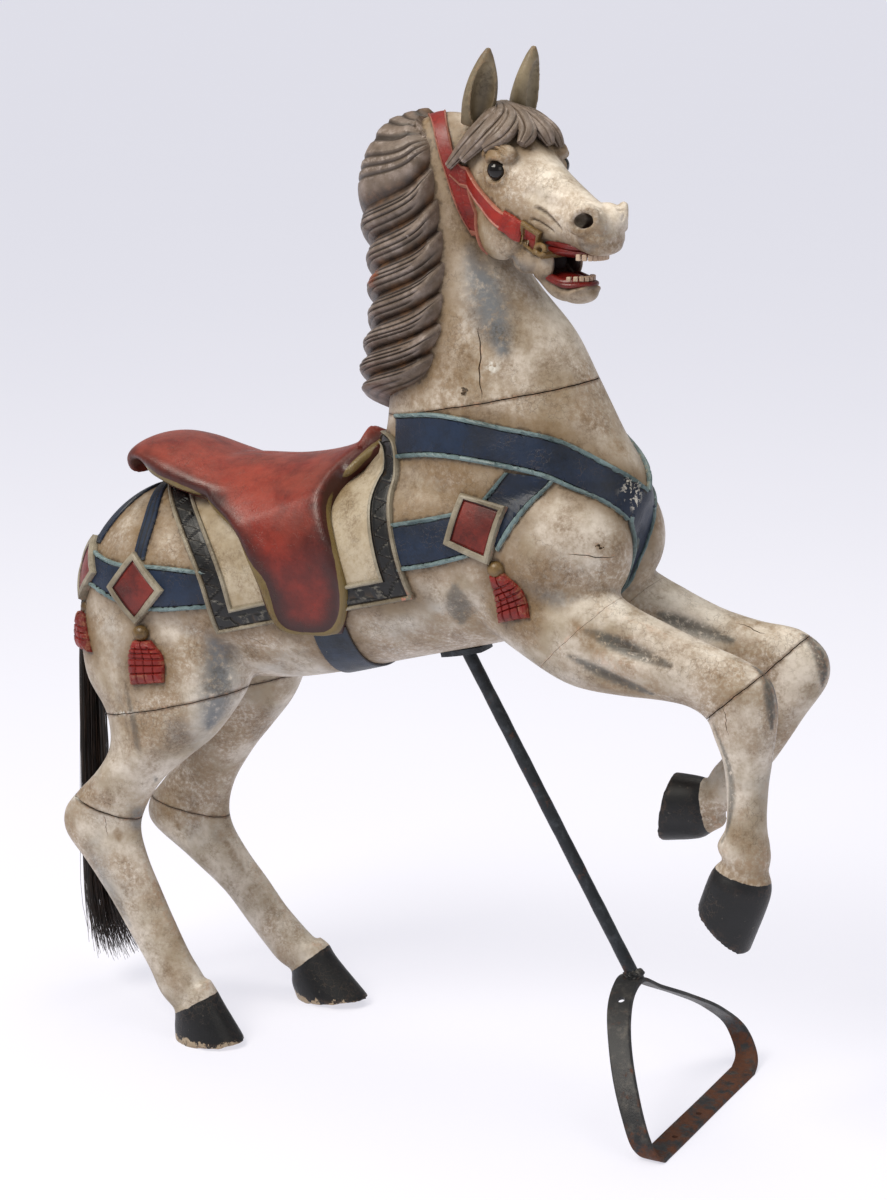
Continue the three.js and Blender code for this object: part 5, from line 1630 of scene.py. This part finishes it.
# %% Layers of harness, mane and saddle
def inked(limit, chip="D5D0C4"):
    """Harness paint: a dark line along the piping, and chips where the harness was knocked."""
    def layers(tree, colour, grime):
        lay = add(tree, "Attribute", attribute_name="lay")["Vector"]
        gap = both_of(tree, add(tree, "SeparateXYZ", {"Vector": lay})["Y"], 1000.0)
        gap = maths(tree, "ADD", gap, both_of(tree, noise(tree, 9, 4), 1.2))
        inner_edge = share(tree, gap, limit + 2.6, limit + 1.2)
        line = both_of(tree, inner_edge, share(tree, gap, limit - 0.8, limit + 0.2))
        colour = blend(tree, both_of(tree, line, 0.85), colour, "0E0D0D")
        chips = both_of(tree, measured(tree, "chips"), share(tree, noise(tree, 9, 8, 0.7), 0.54, 0.56))
        return blend(tree, chips, colour, chip), grime, 1.0
    return layers


def mane_layers(tree, colour, grime):
    """Painted shade: the valleys between the locks are darkened brown, and the V-tool cuts near black."""
    colour = blend(tree, share(tree, noise(tree, 16, 8, 0.7), 0.62, 0.4), colour, "6B5D51")
    low = both_of(tree, share(tree, measured(tree, "valley"), 0.3, 0.8), 0.9)
    valley_shade = blend(tree, share(tree, noise(tree, 20, 4), 0.4, 0.7), "2A1D15", "5A3E26")
    colour = blend(tree, low, colour, valley_shade)
    # Painted shade: the V-tool cuts are made near black.
    colour = blend(tree, both_of(tree, measured(tree, "groove"), 0.9), colour, "17100C")
    bare = both_of(tree, measured(tree, "bare"), share(tree, noise(tree, 6, 5), 0.4, 0.45))
    colour = blend(tree, bare, colour, "8A4A26")
    return colour, grime, share(tree, measured(tree, "valley"), 0.5, 0.2)


def saddle_red(tree, colour, grime):
    """Gilt on the rolled rim, and the red darkens towards it; the top of the seat and cantle is painted
    lighter and more orange, for light from above and for wear where riders sat.
    """
    rim = maths(tree, "ADD", measured(tree, "rim"), both_of(tree, noise(tree, 14, 4), 2))
    # Painted light and wear: the upper seat and cantle are made lighter and more orange, for light from above
    # and for rubbed paint.
    high = share(tree, add(tree, "SeparateXYZ", {"Vector": places(tree)})["Z"], 0.70, 0.84)
    worn = both_of(tree, high, share(tree, noise(tree, 60, 8, 0.7), 0.3, 0.62))
    colour = blend(tree, both_of(tree, worn, 0.45), colour, "A2503F")
    dark = share(tree, maths(tree, "ADD", rim, both_of(tree, noise(tree, 30, 6), 16)), 46, 18)
    colour = blend(tree, both_of(tree, dark, 0.85), colour, "261210")
    gold = share(tree, rim, 7.4, 6.4)
    colour = blend(tree, gold, colour, "6B5A33")
    return colour, both_of(tree, grime, 0.6), maths(tree, "SUBTRACT", 1.0, both_of(tree, gold, 0.8))

# %% [markdown]
# The palette names two tones of each paint, what shows where it has worn off, and its dirt. The numbers
# after them are the wear, the strength of the cracks, the size of the islands in mm and the roughness,
# which for old oil paint under wax lies between 0.3 and 0.5.

# %% The palette
aged("cream_paint", "D4CBBF", "9A8C76", "B98E70", "98805F", 0.3, 0.35, rough=0.42, special=ivory, edge=-0.9)
aged("cloth_cream", "B5A994", "8E7B5C", "C09A78", "967C56", 0.25, 0.3, edge=-1.6)
aged("saddle_paint", "7C2418", "4C140E", "C8866A", "9A6A50", 0.25, 0.2, 14, 0.34, special=saddle_red,
     edge=-1.4)
aged("navy_paint", "13253E", "0C1626", "8C8A7C", "8A8070", 0.3, 0.25, 8, 0.42, special=inked(6.0), edge=-1.6)
aged("slate_paint", "243348", "18222F", "8C8A7C", "8A8070", 0.2, 0.25, 8, 0.45, edge=-1.6)
aged("turquoise_paint", "74888A", "485A5C", "B8A680", "7E6C4A", 0.5, 0.2, 8, 0.45, special=inked(-9), edge=-3)
aged("grey_piping", "999180", "6E6452", "C49080", "7A6442", 0.4, 0.2, 8, 0.45, special=inked(-9, "C27C68"),
     edge=-3)
aged("black_band", "151617", "0A0B0C", "7E796E", "6A6458", 0.45, 0.2, 8, 0.36, edge=-0.5)
aged("terracotta_paint", "7E271C", "4A1510", "B9866A", "7A5040", 0.5, 0.25, 8, 0.42, special=inked(8.0),
     edge=-1.6)
aged("tassel_paint", "90241D", "601612", "B98A66", "7A4434", 0.3, 0.2, 8, 0.42, edge=-1.0)
aged("bridle_red", "902318", "6A1611", "B98A66", "8A5444", 0.25, 0.2, 8, 0.38, edge=-1.6)
aged("pale_line", "A86A58", "84503F", "B98A66", "8A5444", 0.2, 0.2, 8, 0.45, edge=-1.6)
aged("gilt", "78603A", "503C22", "44291A", "5A4428", 0.4, 0.2, 8, 0.34, edge=-1.6)
aged("gum_paint", "6E1712", "420D0B", "B98A66", "6A342C", 0.2, 0.2, 8, 0.32, edge=-1.6)
aged("tooth_paint", "B9A48E", "8E6A56", "8A4A3A", "8A6048", 0.2, 0.2, 8, 0.35, edge=-3)
# Painted shade for the throat.
aged("mouth_dark", "230907", "120403", "2A0E0A", "5A4A44", 0.1, 0.1, 8, 0.8)
aged("mane_paint", "94877F", "6A5B4F", "A59A94", "6E5A44", 0.5, 0.2, 10, 0.40, special=mane_layers, edge=-0.5)
aged("ear_paint", "8A7E66", "5E513C", "A07C58", "5E4A30", 0.3, 0.25, 8, 0.45)
print("aged paints:", len(bpy.data.materials))


# %% [markdown]
# The bar is round iron, blackened by handling. The foot has rusted where it was welded and where it
# stands on damp floors. The eyes are black glass, and the tail is real horsehair.

# %% Iron, glass and hair
def iron(name, black, worn, rust_from):
    """Blackened iron, with rust that thickens below a height in mm."""
    tree = blank(name).node_tree
    height = add(tree, "SeparateXYZ", {"Vector": places(tree)})["Z"]
    scale = share(tree, noise(tree, 18, 8, 0.7), 0.45, 0.7)
    colour = blend(tree, scale, black, worn)
    low = share(tree, height, rust_from * 0.001, rust_from * 0.0002)
    rust = share(tree, maths(tree, "ADD", noise(tree, 22, 9, 0.72), both_of(tree, low, 0.16)), 0.56, 0.72)
    colour = blend(tree, rust, colour, blend(tree, noise(tree, 5, 5), "452C21", "70452E"))
    fine = noise(tree, 2.2, 6, 0.75)
    finish(tree, colour, maths(tree, "ADD", both_of(tree, rust, 0.35), 0.42),
           maths(tree, "ADD", fine, both_of(tree, rust, 0.4)), 0.5, metallic=0.35, ior=1.5)


iron("blackened_iron", "1F2328", "3B4046", 60)
iron("rusty_iron", "2A2B2D", "504D4A", 80)
glass = blank("eye_glass").node_tree
finish(glass, blend(glass, noise(glass, 6, 3), "040404", "140D0A"), 0.07, ior=1.45)
hair = blank("horsehair").node_tree
strands = add(hair, "Mapping", {"Vector": places(hair), "Scale": (1, 1, 0.04)}, vector_type="POINT")["Vector"]
tone = share(hair, noise(hair, 2, 3, at=strands), 0.4, 0.7)
finish(hair, blend(hair, tone, "0E0B0A", "3A2A20"), 0.42, ior=1.55)
print("materials:", len(bpy.data.materials))

# %% [markdown]
# ## The studio
# A pale sheet runs under and far behind the horse. Three large soft lights and a bright room give it the
# soft, almost shadowless light of a sale catalogue.

# %% Floor
bpy.ops.mesh.primitive_circle_add(vertices=96, radius=70, fill_type="NGON")
floor = bpy.context.object
floor.name = "studio_sheet"
sheet = blank("matt_paper").node_tree
paper = blend(sheet, noise(sheet, 900, 3), "A4A4A9", "A0A0A6")
finish(sheet, paper, 0.85, emission_color="E6E6F0", emission_strength=0.75)
dressed(floor, "matt_paper")
floor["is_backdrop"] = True
print("sheet:", floor.dimensions.x, "m across")

# %% [markdown]
# The key light stands high at the horse's right, a weak one fills from ahead, and a third hangs above, so
# that the cuts of the mane and the hollows of the gouge show by their shade.

# %% Lights
def lamp(name, place, at, size, power):
    bpy.ops.object.light_add(type="AREA", location=place)
    light = bpy.context.object
    light.name = name
    light.data.shape = "SQUARE"
    light.data.size = size
    light.data.energy = power
    light.data.color = linear("FFF8EC")[:3]
    light.rotation_euler = (Vector(at) - Vector(place)).to_track_quat("-Z", "Y").to_euler()


lamp("key", (-1.4, -2.6, 4.1), (0, 0, 0.7), 2.2, 175)
lamp("fill", (3.6, -1.8, 2.4), (0, 0, 0.7), 2.2, 20)
lamp("top", (0.2, 0.6, 4.2), (0, 0, 0.7), 2.4, 60)
world = bpy.context.scene.world or bpy.data.worlds.new("room")
bpy.context.scene.world = world
world.use_nodes = True
world.node_tree.nodes["Background"].inputs["Color"].default_value = linear("F0F0F2")
world.node_tree.nodes["Background"].inputs["Strength"].default_value = 0.40
bpy.context.scene.view_settings.view_transform = "Standard"

# %% [markdown]
# The camera stands at the height of a person's eyes, ahead of the horse and to its right, with a long
# lens. The last step writes down the size of the finished horse next to that of the solids it is built
# round.

# %% Camera and size
CAMERA_AT, CAMERA_AIM, LENS = (1.7346, -3.18141, 1.6), (0.0445, -0.0028, 0.66), 83.05
bpy.ops.object.camera_add(location=CAMERA_AT)
camera = bpy.context.object
camera.rotation_euler = (Vector(CAMERA_AIM) - camera.location).to_track_quat("-Z", "Y").to_euler()
camera.data.lens = LENS
camera.data.clip_end = 200
bpy.context.scene.camera = camera

made_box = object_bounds()
for label, box in (("made", made_box), ("solids", cad_box)):
    print("size,", label + ":", [round(b - a, 4) for a, b in zip(*box)], "m")
